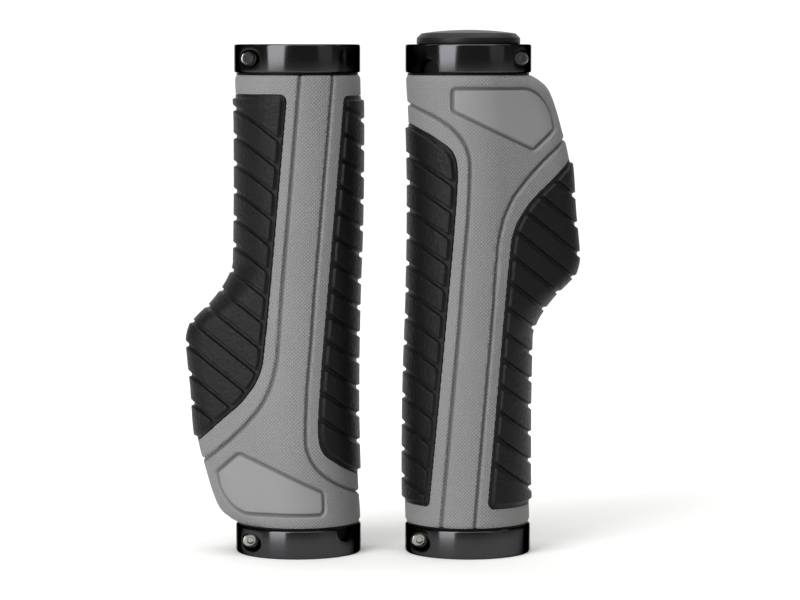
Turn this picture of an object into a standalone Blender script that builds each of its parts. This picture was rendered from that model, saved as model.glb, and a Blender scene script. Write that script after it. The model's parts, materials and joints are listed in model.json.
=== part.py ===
"""A pair of ergonomic lock-on bar grips, each with a palm wing and two clamp collars.

Units are metres, +Z is up. A grip is designed in its own frame: Z runs along the bar from the
inner end (0) to the outer end (LENGTH), +X points to the palm wing and -Y is the front. The right
grip stands on its inner end. The left grip is the same design turned upside down, so that its
wing points the other way.
"""
import math

import bmesh
import bpy
from mathutils import Matrix, Vector

MM = 0.001
GAP = 0.3 * MM                      # clearance between pieces that touch

# The grip and its place
LENGTH = 130.0 * MM                 # over both collars
AXIS_SPACING = 43.6 * MM            # between the two grips' axes
LEFT_TURN = math.radians(6.6)       # each grip stands turned a little about its own axis
RIGHT_TURN = math.radians(3.4)
BAR_RADIUS = 11.1 * MM              # a 22.2 mm handlebar

# Core tube and its keys
CORE_BORE = BAR_RADIUS + 0.05 * MM
CORE_RADIUS = 12.7 * MM
FLANGE_RADIUS = 15.6 * MM           # a thin flange parts the sleeve from each collar
FLANGE = 0.5 * MM
KEY_RADIUS = 14.4 * MM              # how far out the keys reach, well inside the collar's face
KEY_HALF_WIDTH = 2.9 * MM
KEY_LENGTH = 3.2 * MM
KEY_ROOT = 0.25 * MM                # how deep a key's foot is bedded in its flange
KEY_DEPTH = 4.0 * MM                # how far the cutters of keys and notches reach below them
OUTER_KEY_ANGLES = (226.5, 133.5)   # degrees from +X, on the finger side, front and back
INNER_KEY_ANGLES = (90.0,)          # one key at the back

# Clamp collars and their bolts
COLLAR_RADIUS = 16.1 * MM
COLLAR_BORE = BAR_RADIUS + 0.1 * MM
COLLAR_HEIGHT = 7.2 * MM
COLLAR_CHAMFER = 0.4 * MM
SLIT_WIDTH = 1.3 * MM
BOLT_OFFSET = 12.8 * MM             # from the grip's axis to the bolt's axis
BOLT_SEAT = 4.3 * MM                # from the slit to the head's seat
SHANK_RADIUS = 1.0 * MM             # M2
SHANK_LENGTH = 11.0 * MM
HEAD_RADIUS = 1.95 * MM
HEAD_HEIGHT = 2.0 * MM
SOCKET_RADIUS = 0.9 * MM            # over the corners of a 1.5 mm hexagon
SOCKET_DEPTH = 1.1 * MM

# Rubber sleeve: a barrel, and a wing whose tip is a smaller circle. Each curve is (Z, mm).
TIP_TAPER = 0.42                    # how fast the tip circle shrinks as it moves out
CORE_START = COLLAR_HEIGHT + GAP
CORE_END = LENGTH - CORE_START
SLEEVE_START = CORE_START + FLANGE + GAP
SLEEVE_END = LENGTH - SLEEVE_START
SLEEVE_BORE = CORE_RADIUS + GAP
TIP_FACETS = 6
BARREL_FACETS = 18
MIN_WING = 0.15 * MM                # keeps the tip circle apart from the barrel
# Radius of the barrel
BARREL = ((0, 15.8), (10, 15.9), (20, 15.8), (50, 15.7), (64, 15.5), (82, 15.3), (100, 15.35),
          (112, 15.5), (122, 15.85), (130, 15.85))
# Reach of the finger side from the axis: thick at the inner end, and a waist below the pad's end
FINGER = ((0, 15.8), (10, 16.1), (20, 16.25), (32, 16.2), (46, 15.95), (64, 15.3), (82, 14.95),
          (92, 14.9), (102, 15.05), (112, 15.35), (122, 15.9), (130, 15.9))
# Reach of the wing side from the axis
WING = ((0, 15.5), (53, 15.5), (56, 15.9), (58.6, 16.8), (62, 18.7), (66, 21.9), (69, 25.0),
        (71.6, 27.2), (75.5, 28.0), (80, 27.7), (88, 26.9), (97.5, 26.3), (103, 25.4),
        (108, 24.0), (113, 22.6), (117.2, 21.1), (119.3, 19.9), (121, 17.9), (122.5, 16.0),
        (130, 16.0))
# Heights of the loft's sections, in mm: dense where the wing swells
STATIONS = (20, 36, 53, 57, 60, 63, 66, 69, 72, 75.5, 80, 87, 94, 101, 108, 114, 117.5, 119.5, 121)

# Ribbed pads, set in pockets of the sleeve
POCKET_DEPTH = 1.3 * MM
POCKET_TOP = 3.0 * MM               # the pocket's cutter ends this far above the sleeve
PAD_ROOT = 1.0 * MM                 # pad's underside, below the sleeve's surface
PAD_FLOOR = 0.15 * MM               # floor between the ribs, above the sleeve's surface
RIB_TOP = 0.9 * MM
RIB_ROOT = 0.6 * MM                 # how deep the ribs are bedded in the pad
RIM = 1.1 * MM                      # border between the pad's edge and its ribs
RIB_GAP = 1.7 * MM                  # between two ribs, along the grip's axis
GAP_COUNT = 13
CORNER = 2.0 * MM
CORNER_STEPS = 3
# Pad edges as seen from the front, (X, Z) in mm, from the inner end to the outer end
PALM_EDGE = ((40, 12.7), (4.0, 12.7), (8.3, 62.5), (9.1, 71), (9.7, 76.5), (10.2, 81.5),
             (11.9, 85.7), (15.4, 90.6), (20.9, 95.6), (25.9, 100.6), (40, 114.7))
FINGER_EDGE = ((-30, 13.1), (-10.9, 13.1), (-6.65, 61), (-5.0, 80), (-4.2, 91), (-3.85, 97.5),
               (-4.3, 101.3), (-5.6, 103.7), (-10.2, 107), (-14, 109), (-30, 117.4))
# Rib gaps: height where the first one's middle meets the grip's axis, pitch there, and slope
PALM_GAPS = (28.6 * MM, 6.98 * MM, 0.80)
FINGER_GAPS = (8.35 * MM, 6.93 * MM, 0.69)

# End plug, in the right grip only
PLUG_RADIUS = 13.2 * MM
PLUG_BAND = 1.4 * MM
PLUG_HEIGHT = 3.8 * MM
STEM_RADIUS = 8.8 * MM              # fits inside the handlebar's tube
STEM_WALL = 1.5 * MM
STEM_LENGTH = 16.0 * MM
STEM_BARB = 0.5 * MM
STEM_SLOT = 2.0 * MM

ROUND_STEPS = 32
SMALL_STEPS = 16


def clear_scene():
    """Remove every object that the file opened with."""
    for item in list(bpy.data.objects):
        bpy.data.objects.remove(item, do_unlink=True)


def make_collection(name):
    """Add a collection to the scene."""
    collection = bpy.data.collections.new(name)
    bpy.context.scene.collection.children.link(collection)
    return collection


def make_material(name, colour, roughness, metallic=0.0):
    """A plain Principled material."""
    material = bpy.data.materials.new(name)
    material.use_nodes = True
    shader = material.node_tree.nodes["Principled BSDF"]
    shader.inputs["Base Color"].default_value = (*colour, 1.0)
    shader.inputs["Roughness"].default_value = roughness
    shader.inputs["Metallic"].default_value = metallic
    return material


def to_mesh(name, shape):
    """Turn a bmesh into a mesh."""
    mesh = bpy.data.meshes.new(name)
    shape.to_mesh(mesh)
    shape.free()
    return mesh


def smooth_at(curve, height):
    """Value of a curve of (height, value) points at a height, with monotone cubic stretches."""
    slopes = []
    chords = [(b[1] - a[1]) / (b[0] - a[0]) for a, b in zip(curve, curve[1:])]
    for before, after in zip([chords[0]] + chords, chords + [chords[-1]]):
        flat = before * after <= 0.0
        slopes.append(0.0 if flat else 2.0 * before * after / (before + after))
    index = max(i for i in range(len(curve) - 1) if curve[i][0] <= height)
    (h0, v0), (h1, v1) = curve[index], curve[index + 1]
    span = h1 - h0
    s = (height - h0) / span
    return ((1 + 2 * s) * (1 - s) ** 2 * v0 + s * (1 - s) ** 2 * span * slopes[index]
            + s * s * (3 - 2 * s) * v1 + s * s * (s - 1) * span * slopes[index + 1])


def section(height, offset):
    """Outline of the rubber at a height: the hull of the barrel and the wing's tip circle."""
    radius = smooth_at(BARREL, height / MM) * MM
    middle = radius - smooth_at(FINGER, height / MM) * MM
    wing = max(smooth_at(WING, height / MM) * MM - middle - radius, MIN_WING)
    tip = wing / (1.0 - TIP_TAPER)
    tip_radius = radius - TIP_TAPER * tip
    turn = math.acos(TIP_TAPER)
    outline = []
    for i in range(TIP_FACETS + 1):
        angle = turn * (2.0 * i / TIP_FACETS - 1.0)
        reach = tip_radius + offset
        outline.append(Vector((middle + tip + reach * math.cos(angle), reach * math.sin(angle),
                               height)))
    for i in range(BARREL_FACETS + 1):
        angle = turn + (2.0 * math.pi - 2.0 * turn) * i / BARREL_FACETS
        reach = radius + offset
        outline.append(Vector((middle + reach * math.cos(angle), reach * math.sin(angle),
                               height)))
    return outline


def loft(heights, offset):
    """Closed solid through the sections at some heights, swollen or shrunk by an offset."""
    shape = bmesh.new()
    rings = [[shape.verts.new(point) for point in section(height, offset)] for height in heights]
    for low, high in zip(rings, rings[1:]):
        for i in range(len(low)):
            j = (i + 1) % len(low)
            shape.faces.new((low[i], low[j], high[j], high[i]))
    shape.faces.new(list(reversed(rings[0])))
    shape.faces.new(rings[-1])
    return shape


def round_corners(points, radius):
    """Outline in X and Z whose inner points are turned into short arcs where they bend sharply."""
    outline = [points[0]]
    for before, corner, after in zip(points, points[1:], points[2:]):
        back = (before - corner).normalized()
        ahead = (after - corner).normalized()
        bend = math.pi - back.angle(ahead)
        if bend < math.radians(40.0):
            outline.append(corner)
            continue
        reach = radius * math.tan(bend / 2.0)
        middle = corner + (back + ahead).normalized() * radius / math.cos(bend / 2.0)
        first = (corner + back * reach - middle).normalized()
        last = (corner + ahead * reach - middle).normalized()
        for i in range(CORNER_STEPS + 1):
            outline.append(middle + first.slerp(last, i / CORNER_STEPS) * radius)
    outline.append(points[-1])
    return outline


def shift_edge(points, distance):
    """Move an open outline sideways by a distance, to the left of its direction."""
    moved = []
    for i, point in enumerate(points):
        before = points[max(i - 1, 0)]
        after = points[min(i + 1, len(points) - 1)]
        into = (point - before).normalized() if i else (after - point).normalized()
        out = (after - point).normalized() if i < len(points) - 1 else into
        mitre = (into + out).normalized()
        side = Vector((-mitre.z, 0.0, mitre.x))
        moved.append(point + side * distance / max(mitre.dot(into), 0.3))
    return moved


def pad_outline(edge, growth):
    """Pad's outline with round corners, grown outwards by some distance."""
    points = [Vector((x * MM, 0.0, z * MM)) for x, z in edge]
    outward = growth if edge[0][0] > 0 else -growth
    return round_corners(shift_edge(points, outward), CORNER + growth)


def prism(outline, depth=2.5 * COLLAR_RADIUS):
    """Solid that carries a flat outline through the grip from front to back."""
    shape = bmesh.new()
    face = shape.faces.new([shape.verts.new(point - Vector((0.0, depth / 2.0, 0.0)))
                            for point in outline])
    extruded = bmesh.ops.extrude_face_region(shape, geom=[face])
    moved = [item for item in extruded["geom"] if isinstance(item, bmesh.types.BMVert)]
    bmesh.ops.translate(shape, verts=moved, vec=(0.0, depth, 0.0))
    bmesh.ops.recalc_face_normals(shape, faces=shape.faces)
    return shape


def rib_gaps(gaps, side):
    """Slanted slabs through the grip from front to back, one for each gap between two ribs."""
    first, pitch, slope = gaps
    shape = bmesh.new()
    near, far = side * 1.0 * MM, side * 34.0 * MM
    top = Vector((0.0, 0.0, RIB_GAP))
    for i in range(GAP_COUNT):
        low = first + i * pitch - RIB_GAP / 2.0
        inside = Vector((near, 0.0, low - near * slope))
        outside = Vector((far, 0.0, low - far * slope))
        slab = to_mesh("slab", prism([inside, outside, outside + top, inside + top]))
        shape.from_mesh(slab)
        bpy.data.meshes.remove(slab)
    return shape


def key_prism(half_width, length, angle, face, outward):
    """Solid with a round nose that runs out along a radius, for a key or its notch."""
    nose = face + outward * (length - half_width)
    root = face - outward * KEY_DEPTH
    outline = [Vector((-half_width, 0.0, root)), Vector((half_width, 0.0, root))]
    steps = 10
    for i in range(steps + 1):
        turn = math.pi * i / steps
        outline.append(Vector((half_width * math.cos(turn), 0.0,
                               nose + outward * half_width * math.sin(turn))))
    shape = prism(outline, 14.0 * MM)
    place = Matrix.Rotation(math.radians(angle) + math.pi / 2.0, 4, "Z")
    place = place @ Matrix.Translation((0.0, -14.0 * MM, 0.0))
    bmesh.ops.transform(shape, matrix=place, verts=shape.verts)
    return shape


class Grip:
    """One grip: a parent empty, and the calls that add pieces and cutters under it."""

    def __init__(self, side, parts, cutters, materials):
        self.side = side
        self.parts = parts
        self.cutters = cutters
        self.materials = materials
        self.frame = bpy.data.objects.new(side + "_frame", None)
        parts.objects.link(self.frame)

    def stand(self, place):
        """Place the whole grip."""
        self.frame.matrix_world = place

    def add(self, name, mesh, material, location=(0, 0, 0), rotation=(0, 0, 0)):
        """Add a piece of the grip."""
        piece = bpy.data.objects.new(self.side + "_" + name, mesh)
        piece.location = location
        piece.rotation_euler = rotation
        piece.parent = self.frame
        self.parts.objects.link(piece)
        mesh.materials.append(self.materials[material])
        return piece

    def add_solid(self, name, shape, material):
        """Add a piece from a bmesh."""
        return self.add(name, to_mesh(name, shape), material)

    def cutter(self, name, mesh, location=(0, 0, 0), rotation=(0, 0, 0)):
        """Add a cutter or a helper solid, which isn't part of the grip."""
        tool = bpy.data.objects.new("%s_%s_cutter" % (self.side, name), mesh)
        tool.location = location
        tool.rotation_euler = rotation
        tool.parent = self.frame
        tool.hide_render = True
        tool.display_type = "WIRE"
        self.cutters.objects.link(tool)
        return tool


def profile_mesh(name, points, closed):
    """Mesh of one outline in the XZ plane, for a Screw modifier."""
    shape = bmesh.new()
    verts = [shape.verts.new((x, 0.0, z)) for x, z in points]
    for a, b in zip(verts, verts[1:]):
        shape.edges.new((a, b))
    if closed:
        shape.edges.new((verts[-1], verts[0]))
    return to_mesh(name, shape)


def spin(piece, steps):
    """Turn a piece's profile about its own Z axis."""
    screw = piece.modifiers.new("Turn", "SCREW")
    screw.angle = 2.0 * math.pi
    screw.steps = steps
    screw.render_steps = steps
    screw.use_merge_vertices = True
    screw.merge_threshold = 0.00001
    screw.use_smooth_shade = True


def combine(piece, operation, *tools):
    """Cut a piece with tools, or join them to it."""
    for tool in tools:
        boolean = piece.modifiers.new(tool.name, "BOOLEAN")
        boolean.operation = operation
        boolean.object = tool


def sleeve_heights():
    """Heights of the sleeve's sections."""
    return [SLEEVE_START] + [height * MM for height in STATIONS] + [SLEEVE_END]


def reach_through(heights):
    """The same heights, with both ends moved out so that a cutter passes through."""
    return [heights[0] - 4.0 * MM] + heights[1:-1] + [heights[-1] + 4.0 * MM]


def edge_tool(grip, name, edge, growth):
    """Cutter with a pad's outline, through the grip from front to back."""
    return grip.cutter(name + "_edge", to_mesh("edge", prism(pad_outline(edge, growth))))


def inner_tool(grip, name, depth):
    """Cutter that fills the grip up to some depth below the sleeve's surface."""
    return grip.cutter(name + "_inner", to_mesh("inner", loft(reach_through(sleeve_heights()), -depth)))


def make_pocket(grip, name, edge):
    """Cutter for a pad's pocket in the sleeve."""
    pocket = grip.cutter(name, to_mesh("pocket", loft(reach_through(sleeve_heights()), POCKET_TOP)))
    combine(pocket, "INTERSECT", edge_tool(grip, name, edge, GAP))
    combine(pocket, "DIFFERENCE", inner_tool(grip, name, POCKET_DEPTH))
    return pocket


def make_ribs(grip, name, edge, gaps, side):
    """Helper solid of a pad's ribs."""
    heights = reach_through(sleeve_heights())
    ribs = grip.cutter(name + "_ribs", to_mesh("ribs", loft(heights, RIB_TOP)))
    slabs = grip.cutter(name + "_gaps", to_mesh("gaps", rib_gaps(gaps, side)))
    combine(ribs, "INTERSECT", edge_tool(grip, name + "_ribs", edge, -RIM))
    combine(ribs, "DIFFERENCE", inner_tool(grip, name + "_ribs", RIB_ROOT), slabs)
    return ribs


def make_pad(grip, name, edge, gaps, side):
    """Ribbed pad that wraps one side of the grip."""
    pad = grip.add_solid(name, loft(reach_through(sleeve_heights()), PAD_FLOOR), "pad")
    combine(pad, "INTERSECT", edge_tool(grip, name, edge, 0.0))
    combine(pad, "DIFFERENCE", inner_tool(grip, name, PAD_ROOT))
    combine(pad, "UNION", make_ribs(grip, name, edge, gaps, side))


def make_sleeve(grip):
    """Rubber sleeve with its bore and the two pad pockets."""
    sleeve = grip.add_solid("sleeve", loft(sleeve_heights(), 0.0), "sleeve")
    bore = bmesh.new()
    bmesh.ops.create_cone(bore, cap_ends=True, segments=ROUND_STEPS, radius1=SLEEVE_BORE,
                          radius2=SLEEVE_BORE, depth=LENGTH)
    bore_tool = grip.cutter("sleeve_bore", to_mesh("bore", bore), (0, 0, LENGTH / 2.0))
    combine(sleeve, "DIFFERENCE", bore_tool, make_pocket(grip, "palm_pocket", PALM_EDGE),
            make_pocket(grip, "finger_pocket", FINGER_EDGE))


def make_keys(grip, name, angles, face, outward):
    """Helper solid of the keys on one flange of the core: slices of a ring."""
    tip = face + outward * KEY_LENGTH
    foot = face - outward * KEY_ROOT
    inside = CORE_BORE + 0.4 * MM
    points = [(inside, max(tip, foot)), (KEY_RADIUS, max(tip, foot)), (KEY_RADIUS, min(tip, foot)),
              (inside, min(tip, foot))]
    keys = grip.cutter(name + "_keys", profile_mesh("keys", points, True))
    spin(keys, ROUND_STEPS)
    slices = bmesh.new()
    for angle in angles:
        wedge = to_mesh("wedge", key_prism(KEY_HALF_WIDTH, KEY_LENGTH, angle, face, outward))
        slices.from_mesh(wedge)
        bpy.data.meshes.remove(wedge)
    combine(keys, "INTERSECT", grip.cutter(name + "_key_slices", to_mesh("slices", slices)))
    return keys


def make_core(grip):
    """Hard tube that slides over the bar, with a thin flange at each end and keys on the flanges."""
    points = [(CORE_BORE, CORE_END), (FLANGE_RADIUS, CORE_END), (FLANGE_RADIUS, CORE_END - FLANGE),
              (CORE_RADIUS, CORE_END - FLANGE), (CORE_RADIUS, CORE_START + FLANGE),
              (FLANGE_RADIUS, CORE_START + FLANGE), (FLANGE_RADIUS, CORE_START), (CORE_BORE, CORE_START)]
    core = grip.add("core", profile_mesh("core", points, True), "core")
    spin(core, ROUND_STEPS)
    combine(core, "UNION", make_keys(grip, "outer", OUTER_KEY_ANGLES, CORE_END, 1.0),
            make_keys(grip, "inner", INNER_KEY_ANGLES, CORE_START, -1.0))


def bolt_tool(grip, name, location, rotation):
    """Cutter for a bolt's hole and its counterbore."""
    hole = SHANK_RADIUS + GAP
    sink = HEAD_RADIUS + GAP
    points = [(0.0, 12.0 * MM), (sink, 12.0 * MM), (sink, 0.0), (hole, 0.0),
              (hole, -24.0 * MM), (0.0, -24.0 * MM)]
    tool = grip.cutter(name + "_hole", profile_mesh("hole", points, False), location, rotation)
    spin(tool, SMALL_STEPS)
    return tool


def make_bolt(grip, name, location, rotation):
    """Socket-head bolt, with its axis on its own Z and its seat at 0."""
    edge = 0.3 * MM
    points = [(0.0, HEAD_HEIGHT), (HEAD_RADIUS - edge, HEAD_HEIGHT), (HEAD_RADIUS, HEAD_HEIGHT - edge),
              (HEAD_RADIUS, GAP), (SHANK_RADIUS, GAP), (SHANK_RADIUS, edge - SHANK_LENGTH),
              (SHANK_RADIUS - edge, -SHANK_LENGTH), (0.0, -SHANK_LENGTH)]
    bolt = grip.add(name, profile_mesh(name, points, False), "bolt", location, rotation)
    spin(bolt, SMALL_STEPS)
    socket = bmesh.new()
    bmesh.ops.create_cone(socket, cap_ends=True, segments=6, radius1=SOCKET_RADIUS,
                          radius2=SOCKET_RADIUS, depth=2.0 * SOCKET_DEPTH)
    bmesh.ops.translate(socket, verts=socket.verts, vec=(0.0, 0.0, HEAD_HEIGHT))
    combine(bolt, "DIFFERENCE", grip.cutter(name + "_socket", to_mesh("socket", socket), location,
                                            rotation))


def make_collar(grip, end, middle, outward, key_angles, bolt_side):
    """Split clamp collar with its bolt.

    The collar is centred at a height, its sleeve side has a notch for each key, and its bolt
    passes on the side of +X or -X with its head at the front.
    """
    radius, half, edge = COLLAR_RADIUS, COLLAR_HEIGHT / 2.0, COLLAR_CHAMFER
    points = [(COLLAR_BORE, half), (radius - edge, half), (radius, half - edge),
              (radius, edge - half), (radius - edge, -half), (COLLAR_BORE, -half)]
    place = (0.0, 0.0, middle)
    collar = grip.add(end + "_collar", profile_mesh("collar", points, True), "collar", place)
    spin(collar, ROUND_STEPS)
    slit = bmesh.new()
    bmesh.ops.create_cube(slit, size=1.0)
    bmesh.ops.scale(slit, verts=slit.verts, vec=(9.0 * MM, SLIT_WIDTH, 2.0 * COLLAR_HEIGHT))
    slit_tool = grip.cutter(end + "_slit", to_mesh("slit", slit), (bolt_side * 14.0 * MM, 0.0, middle))
    bolt_place = (bolt_side * BOLT_OFFSET, -BOLT_SEAT, middle)
    facing_front = (math.pi / 2.0, 0.0, 0.0)
    combine(collar, "DIFFERENCE", slit_tool, bolt_tool(grip, end, bolt_place, facing_front))
    face = -outward * half
    for number, angle in enumerate(key_angles):
        notch = key_prism(KEY_HALF_WIDTH + GAP, KEY_LENGTH + GAP, angle, face, outward)
        tool = grip.cutter("%s_notch_%d" % (end, number), to_mesh("notch", notch), place)
        combine(collar, "DIFFERENCE", tool)
    make_bolt(grip, end + "_bolt", bolt_place, facing_front)


def make_plug(grip):
    """End plug: a domed cap with a slotted hollow stem for the bar's tube."""
    chamfer, dome = 1.3 * MM, 1.1 * MM
    shoulder = PLUG_BAND + chamfer
    rim = PLUG_RADIUS - chamfer
    points = [(0.0, PLUG_HEIGHT)]
    arcs = 4
    for i in range(1, arcs + 1):
        share = i / arcs
        points.append((rim * share, shoulder + dome * (1.0 - share ** 2)))
    inside = STEM_RADIUS - STEM_WALL
    barb = 3.0 * MM
    points += [(PLUG_RADIUS, PLUG_BAND), (PLUG_RADIUS, GAP), (STEM_RADIUS, GAP),
               (STEM_RADIUS, -STEM_LENGTH + barb), (STEM_RADIUS + STEM_BARB, -STEM_LENGTH + barb),
               (STEM_RADIUS - STEM_BARB, -STEM_LENGTH), (inside, -STEM_LENGTH), (inside, 0.0),
               (0.0, 0.0)]
    plug = grip.add("end_plug", profile_mesh("end_plug", points, False), "plug", (0.0, 0.0, LENGTH))
    spin(plug, ROUND_STEPS)
    for number, size in enumerate(((40.0 * MM, STEM_SLOT), (STEM_SLOT, 40.0 * MM))):
        slot = bmesh.new()
        bmesh.ops.create_cube(slot, size=1.0)
        bmesh.ops.scale(slot, verts=slot.verts, vec=(size[0], size[1], STEM_LENGTH))
        middle = LENGTH - STEM_LENGTH * 0.75
        tool = grip.cutter("plug_slot_%d" % number, to_mesh("slot", slot), (0.0, 0.0, middle))
        combine(plug, "DIFFERENCE", tool)


def make_grip(side, place, inner_bolt_side, with_plug, parts, cutters, materials):
    """Build one grip and stand it in its place."""
    grip = Grip(side, parts, cutters, materials)
    half = COLLAR_HEIGHT / 2.0
    make_core(grip)
    make_sleeve(grip)
    make_pad(grip, "palm_pad", PALM_EDGE, PALM_GAPS, 1.0)
    make_pad(grip, "finger_pad", FINGER_EDGE, FINGER_GAPS, -1.0)
    make_collar(grip, "inner", half, -1.0, INNER_KEY_ANGLES, inner_bolt_side)
    make_collar(grip, "outer", LENGTH - half, 1.0, OUTER_KEY_ANGLES, 1.0)
    if with_plug:
        make_plug(grip)
    grip.stand(place)


def main():
    """Build the pair."""
    clear_scene()
    parts = make_collection("lock_on_grips")
    cutters = make_collection("cutters")
    materials = {
        "core": make_material("hard_black_nylon", (0.012, 0.012, 0.012), 0.45),
        "sleeve": make_material("grey_rubber", (0.22, 0.22, 0.22), 0.75),
        "pad": make_material("black_rubber", (0.02, 0.02, 0.02), 0.7),
        "collar": make_material("black_anodised_aluminium", (0.02, 0.02, 0.02), 0.25, 1.0),
        "bolt": make_material("bright_steel", (0.6, 0.6, 0.6), 0.25, 1.0),
        "plug": make_material("black_plastic", (0.03, 0.03, 0.03), 0.5),
    }
    upside_down = Matrix.Rotation(math.pi, 4, "Y")
    left_place = (Matrix.Translation((-AXIS_SPACING / 2.0, 0.0, LENGTH))
                  @ Matrix.Rotation(LEFT_TURN, 4, "Z") @ upside_down)
    right_place = (Matrix.Translation((AXIS_SPACING / 2.0, 0.0, 0.0))
                   @ Matrix.Rotation(RIGHT_TURN, 4, "Z"))
    make_grip("left", left_place, 1.0, False, parts, cutters, materials)
    make_grip("right", right_place, -1.0, True, parts, cutters, materials)


main()
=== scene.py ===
"""Looks of a pair of ergonomic lock-on bar grips.

Each grip is designed in its own frame, in mm: Z runs along the bar from the inner end (0) to the
outer end, +X points to the palm wing and -Y is the front. A point of the rubber is given by its arc,
its height and its lift: the arc runs round the rubber from the middle of the front, towards the wing
where it is positive, and the lift is how far the point stands off the plain rubber. The back of a
grip is the mirror image of its front.
"""

import json
import logging
import math
from dataclasses import dataclass, field
from enum import Enum

import bmesh
import bpy
import numpy as np
from mathutils import Matrix, Vector


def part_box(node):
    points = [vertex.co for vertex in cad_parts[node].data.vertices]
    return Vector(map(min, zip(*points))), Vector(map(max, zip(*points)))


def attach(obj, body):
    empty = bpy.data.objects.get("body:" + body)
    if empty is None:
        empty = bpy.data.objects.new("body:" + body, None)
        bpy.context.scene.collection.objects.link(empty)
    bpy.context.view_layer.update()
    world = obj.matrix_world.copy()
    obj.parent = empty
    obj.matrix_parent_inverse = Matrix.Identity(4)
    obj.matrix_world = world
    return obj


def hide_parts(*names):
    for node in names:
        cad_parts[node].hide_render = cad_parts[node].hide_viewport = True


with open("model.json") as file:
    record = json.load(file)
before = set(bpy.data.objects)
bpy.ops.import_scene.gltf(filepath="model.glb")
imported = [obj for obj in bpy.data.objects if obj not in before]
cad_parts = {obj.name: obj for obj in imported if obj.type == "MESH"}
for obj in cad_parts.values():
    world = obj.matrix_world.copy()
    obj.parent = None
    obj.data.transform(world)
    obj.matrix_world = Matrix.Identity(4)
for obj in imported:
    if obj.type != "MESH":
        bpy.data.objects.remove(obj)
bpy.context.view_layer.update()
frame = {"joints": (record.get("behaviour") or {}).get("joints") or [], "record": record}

MM = 0.001
ROUND = 128                      # segments of a turned piece
CLOSE = 0.05                     # mm between two pieces, too little for light to show through
BEYOND = 60.0                    # mm of arc, farther round than any point of the rubber
log = logging.getLogger("grips")


class Side(Enum):
    """The two grips of the pair."""

    LEFT = "left"
    RIGHT = "right"


class End(Enum):
    """The two ends of a grip, named by their place on the handlebar."""

    INNER = "inner"
    OUTER = "outer"


# ---------------------------------------------------------------------------------------------
# Small helpers
# ---------------------------------------------------------------------------------------------
def linear(colour: str) -> tuple[float, float, float, float]:
    """Turn an sRGB hex colour into linear RGBA.

    Args:
        colour: Six hex digits.

    Returns:
        The linear colour, opaque.
    """
    parts = [int(colour[i:i + 2], 16) / 255.0 for i in (0, 2, 4)]
    red, green, blue = (p / 12.92 if p <= 0.04045 else ((p + 0.055) / 1.055) ** 2.4 for p in parts)
    return red, green, blue, 1.0


def eased(value: np.ndarray) -> np.ndarray:
    """Smooth step of values between 0 and 1."""
    value = np.clip(value, 0.0, 1.0)
    return value * value * (3.0 - 2.0 * value)


def node_body(node: str) -> str:
    """Name of the body that a CAD node rides on."""
    bodies = frame["record"]["behaviour"]["bodies"]
    return next(body for body, members in bodies.items() if node in members)


def add_node(tree: bpy.types.NodeTree, kind: str, links: dict | None = None,
             **settings: object) -> bpy.types.Node:
    """Add a node to a material.

    Args:
        tree: The material's node tree.
        kind: The node's Blender type.
        links: What each input takes: a socket to link, or a value.
        **settings: The node's own properties.

    Returns:
        The new node.
    """
    node = tree.nodes.new(kind)
    for name, value in settings.items():
        setattr(node, name, value)
    for name, value in (links or {}).items():
        if isinstance(value, bpy.types.NodeSocket):
            tree.links.new(value, node.inputs[name])
        else:
            node.inputs[name].default_value = value
    return node


# ---------------------------------------------------------------------------------------------
# Finishes
# ---------------------------------------------------------------------------------------------
@dataclass(frozen=True)
class Finish:
    """A plain finish with a fine grain.

    Attributes:
        name: The material's name.
        colour: sRGB hex of the surface.
        roughness: Middle roughness.
        metallic: 1 for bare or anodised metal.
        grain: Size of the surface's grain in mm.
        relief: Depth of the grain in mm.
        variation: How far the grain moves the roughness.
        specular: The shader's specular level.
        edge: sRGB hex that tints what the surface mirrors at a glancing angle.
        turned: How strongly the marks of turning about Z draw reflections out along Z.
    """

    name: str
    colour: str
    roughness: float
    metallic: float = 0.0
    grain: float = 0.25
    relief: float = 0.01
    variation: float = 0.08
    specular: float = 0.5
    edge: str = "ffffff"
    turned: float = 0.0

    def make(self) -> bpy.types.Material:
        """Build the material, unless it was built before.

        Returns:
            The material.
        """
        found = bpy.data.materials.get(self.name)
        if found:
            return found
        material = bpy.data.materials.new(self.name)
        material.use_nodes = True
        tree = material.node_tree
        shader = tree.nodes["Principled BSDF"]
        shader.inputs["Base Color"].default_value = linear(self.colour)
        shader.inputs["Roughness"].default_value = self.roughness
        shader.inputs["Metallic"].default_value = self.metallic
        shader.inputs["Specular IOR Level"].default_value = self.specular
        shader.inputs["Specular Tint"].default_value = linear(self.edge)
        if self.turned:
            shader.inputs["Anisotropic"].default_value = self.turned
            shader.inputs["Anisotropic Rotation"].default_value = 0.25
            round_z = add_node(tree, "ShaderNodeTangent", direction_type="RADIAL", axis="Z")
            tree.links.new(round_z.outputs["Tangent"], shader.inputs["Tangent"])
        self.dress(tree, shader)
        return material

    def dress(self, tree: bpy.types.NodeTree, shader: bpy.types.Node) -> None:
        """Add the grain: a noise that bumps the surface and moves its roughness.

        Args:
            tree: The material's node tree.
            shader: Its Principled shader.
        """
        place = add_node(tree, "ShaderNodeTexCoord").outputs["Object"]
        noise = add_node(tree, "ShaderNodeTexNoise", {"Vector": place, "Scale": 1.0 / (self.grain * MM),
                                                      "Detail": 3.0, "Roughness": 0.6})
        rough = add_node(tree, "ShaderNodeMapRange", {
            "Value": noise.outputs["Fac"], "To Min": self.roughness - self.variation,
            "To Max": self.roughness + self.variation})
        tree.links.new(rough.outputs["Result"], shader.inputs["Roughness"])
        bump = add_node(tree, "ShaderNodeBump", {
            "Height": noise.outputs["Fac"], "Distance": self.relief * MM, "Strength": 1.0})
        tree.links.new(bump.outputs["Normal"], shader.inputs["Normal"])


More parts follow.
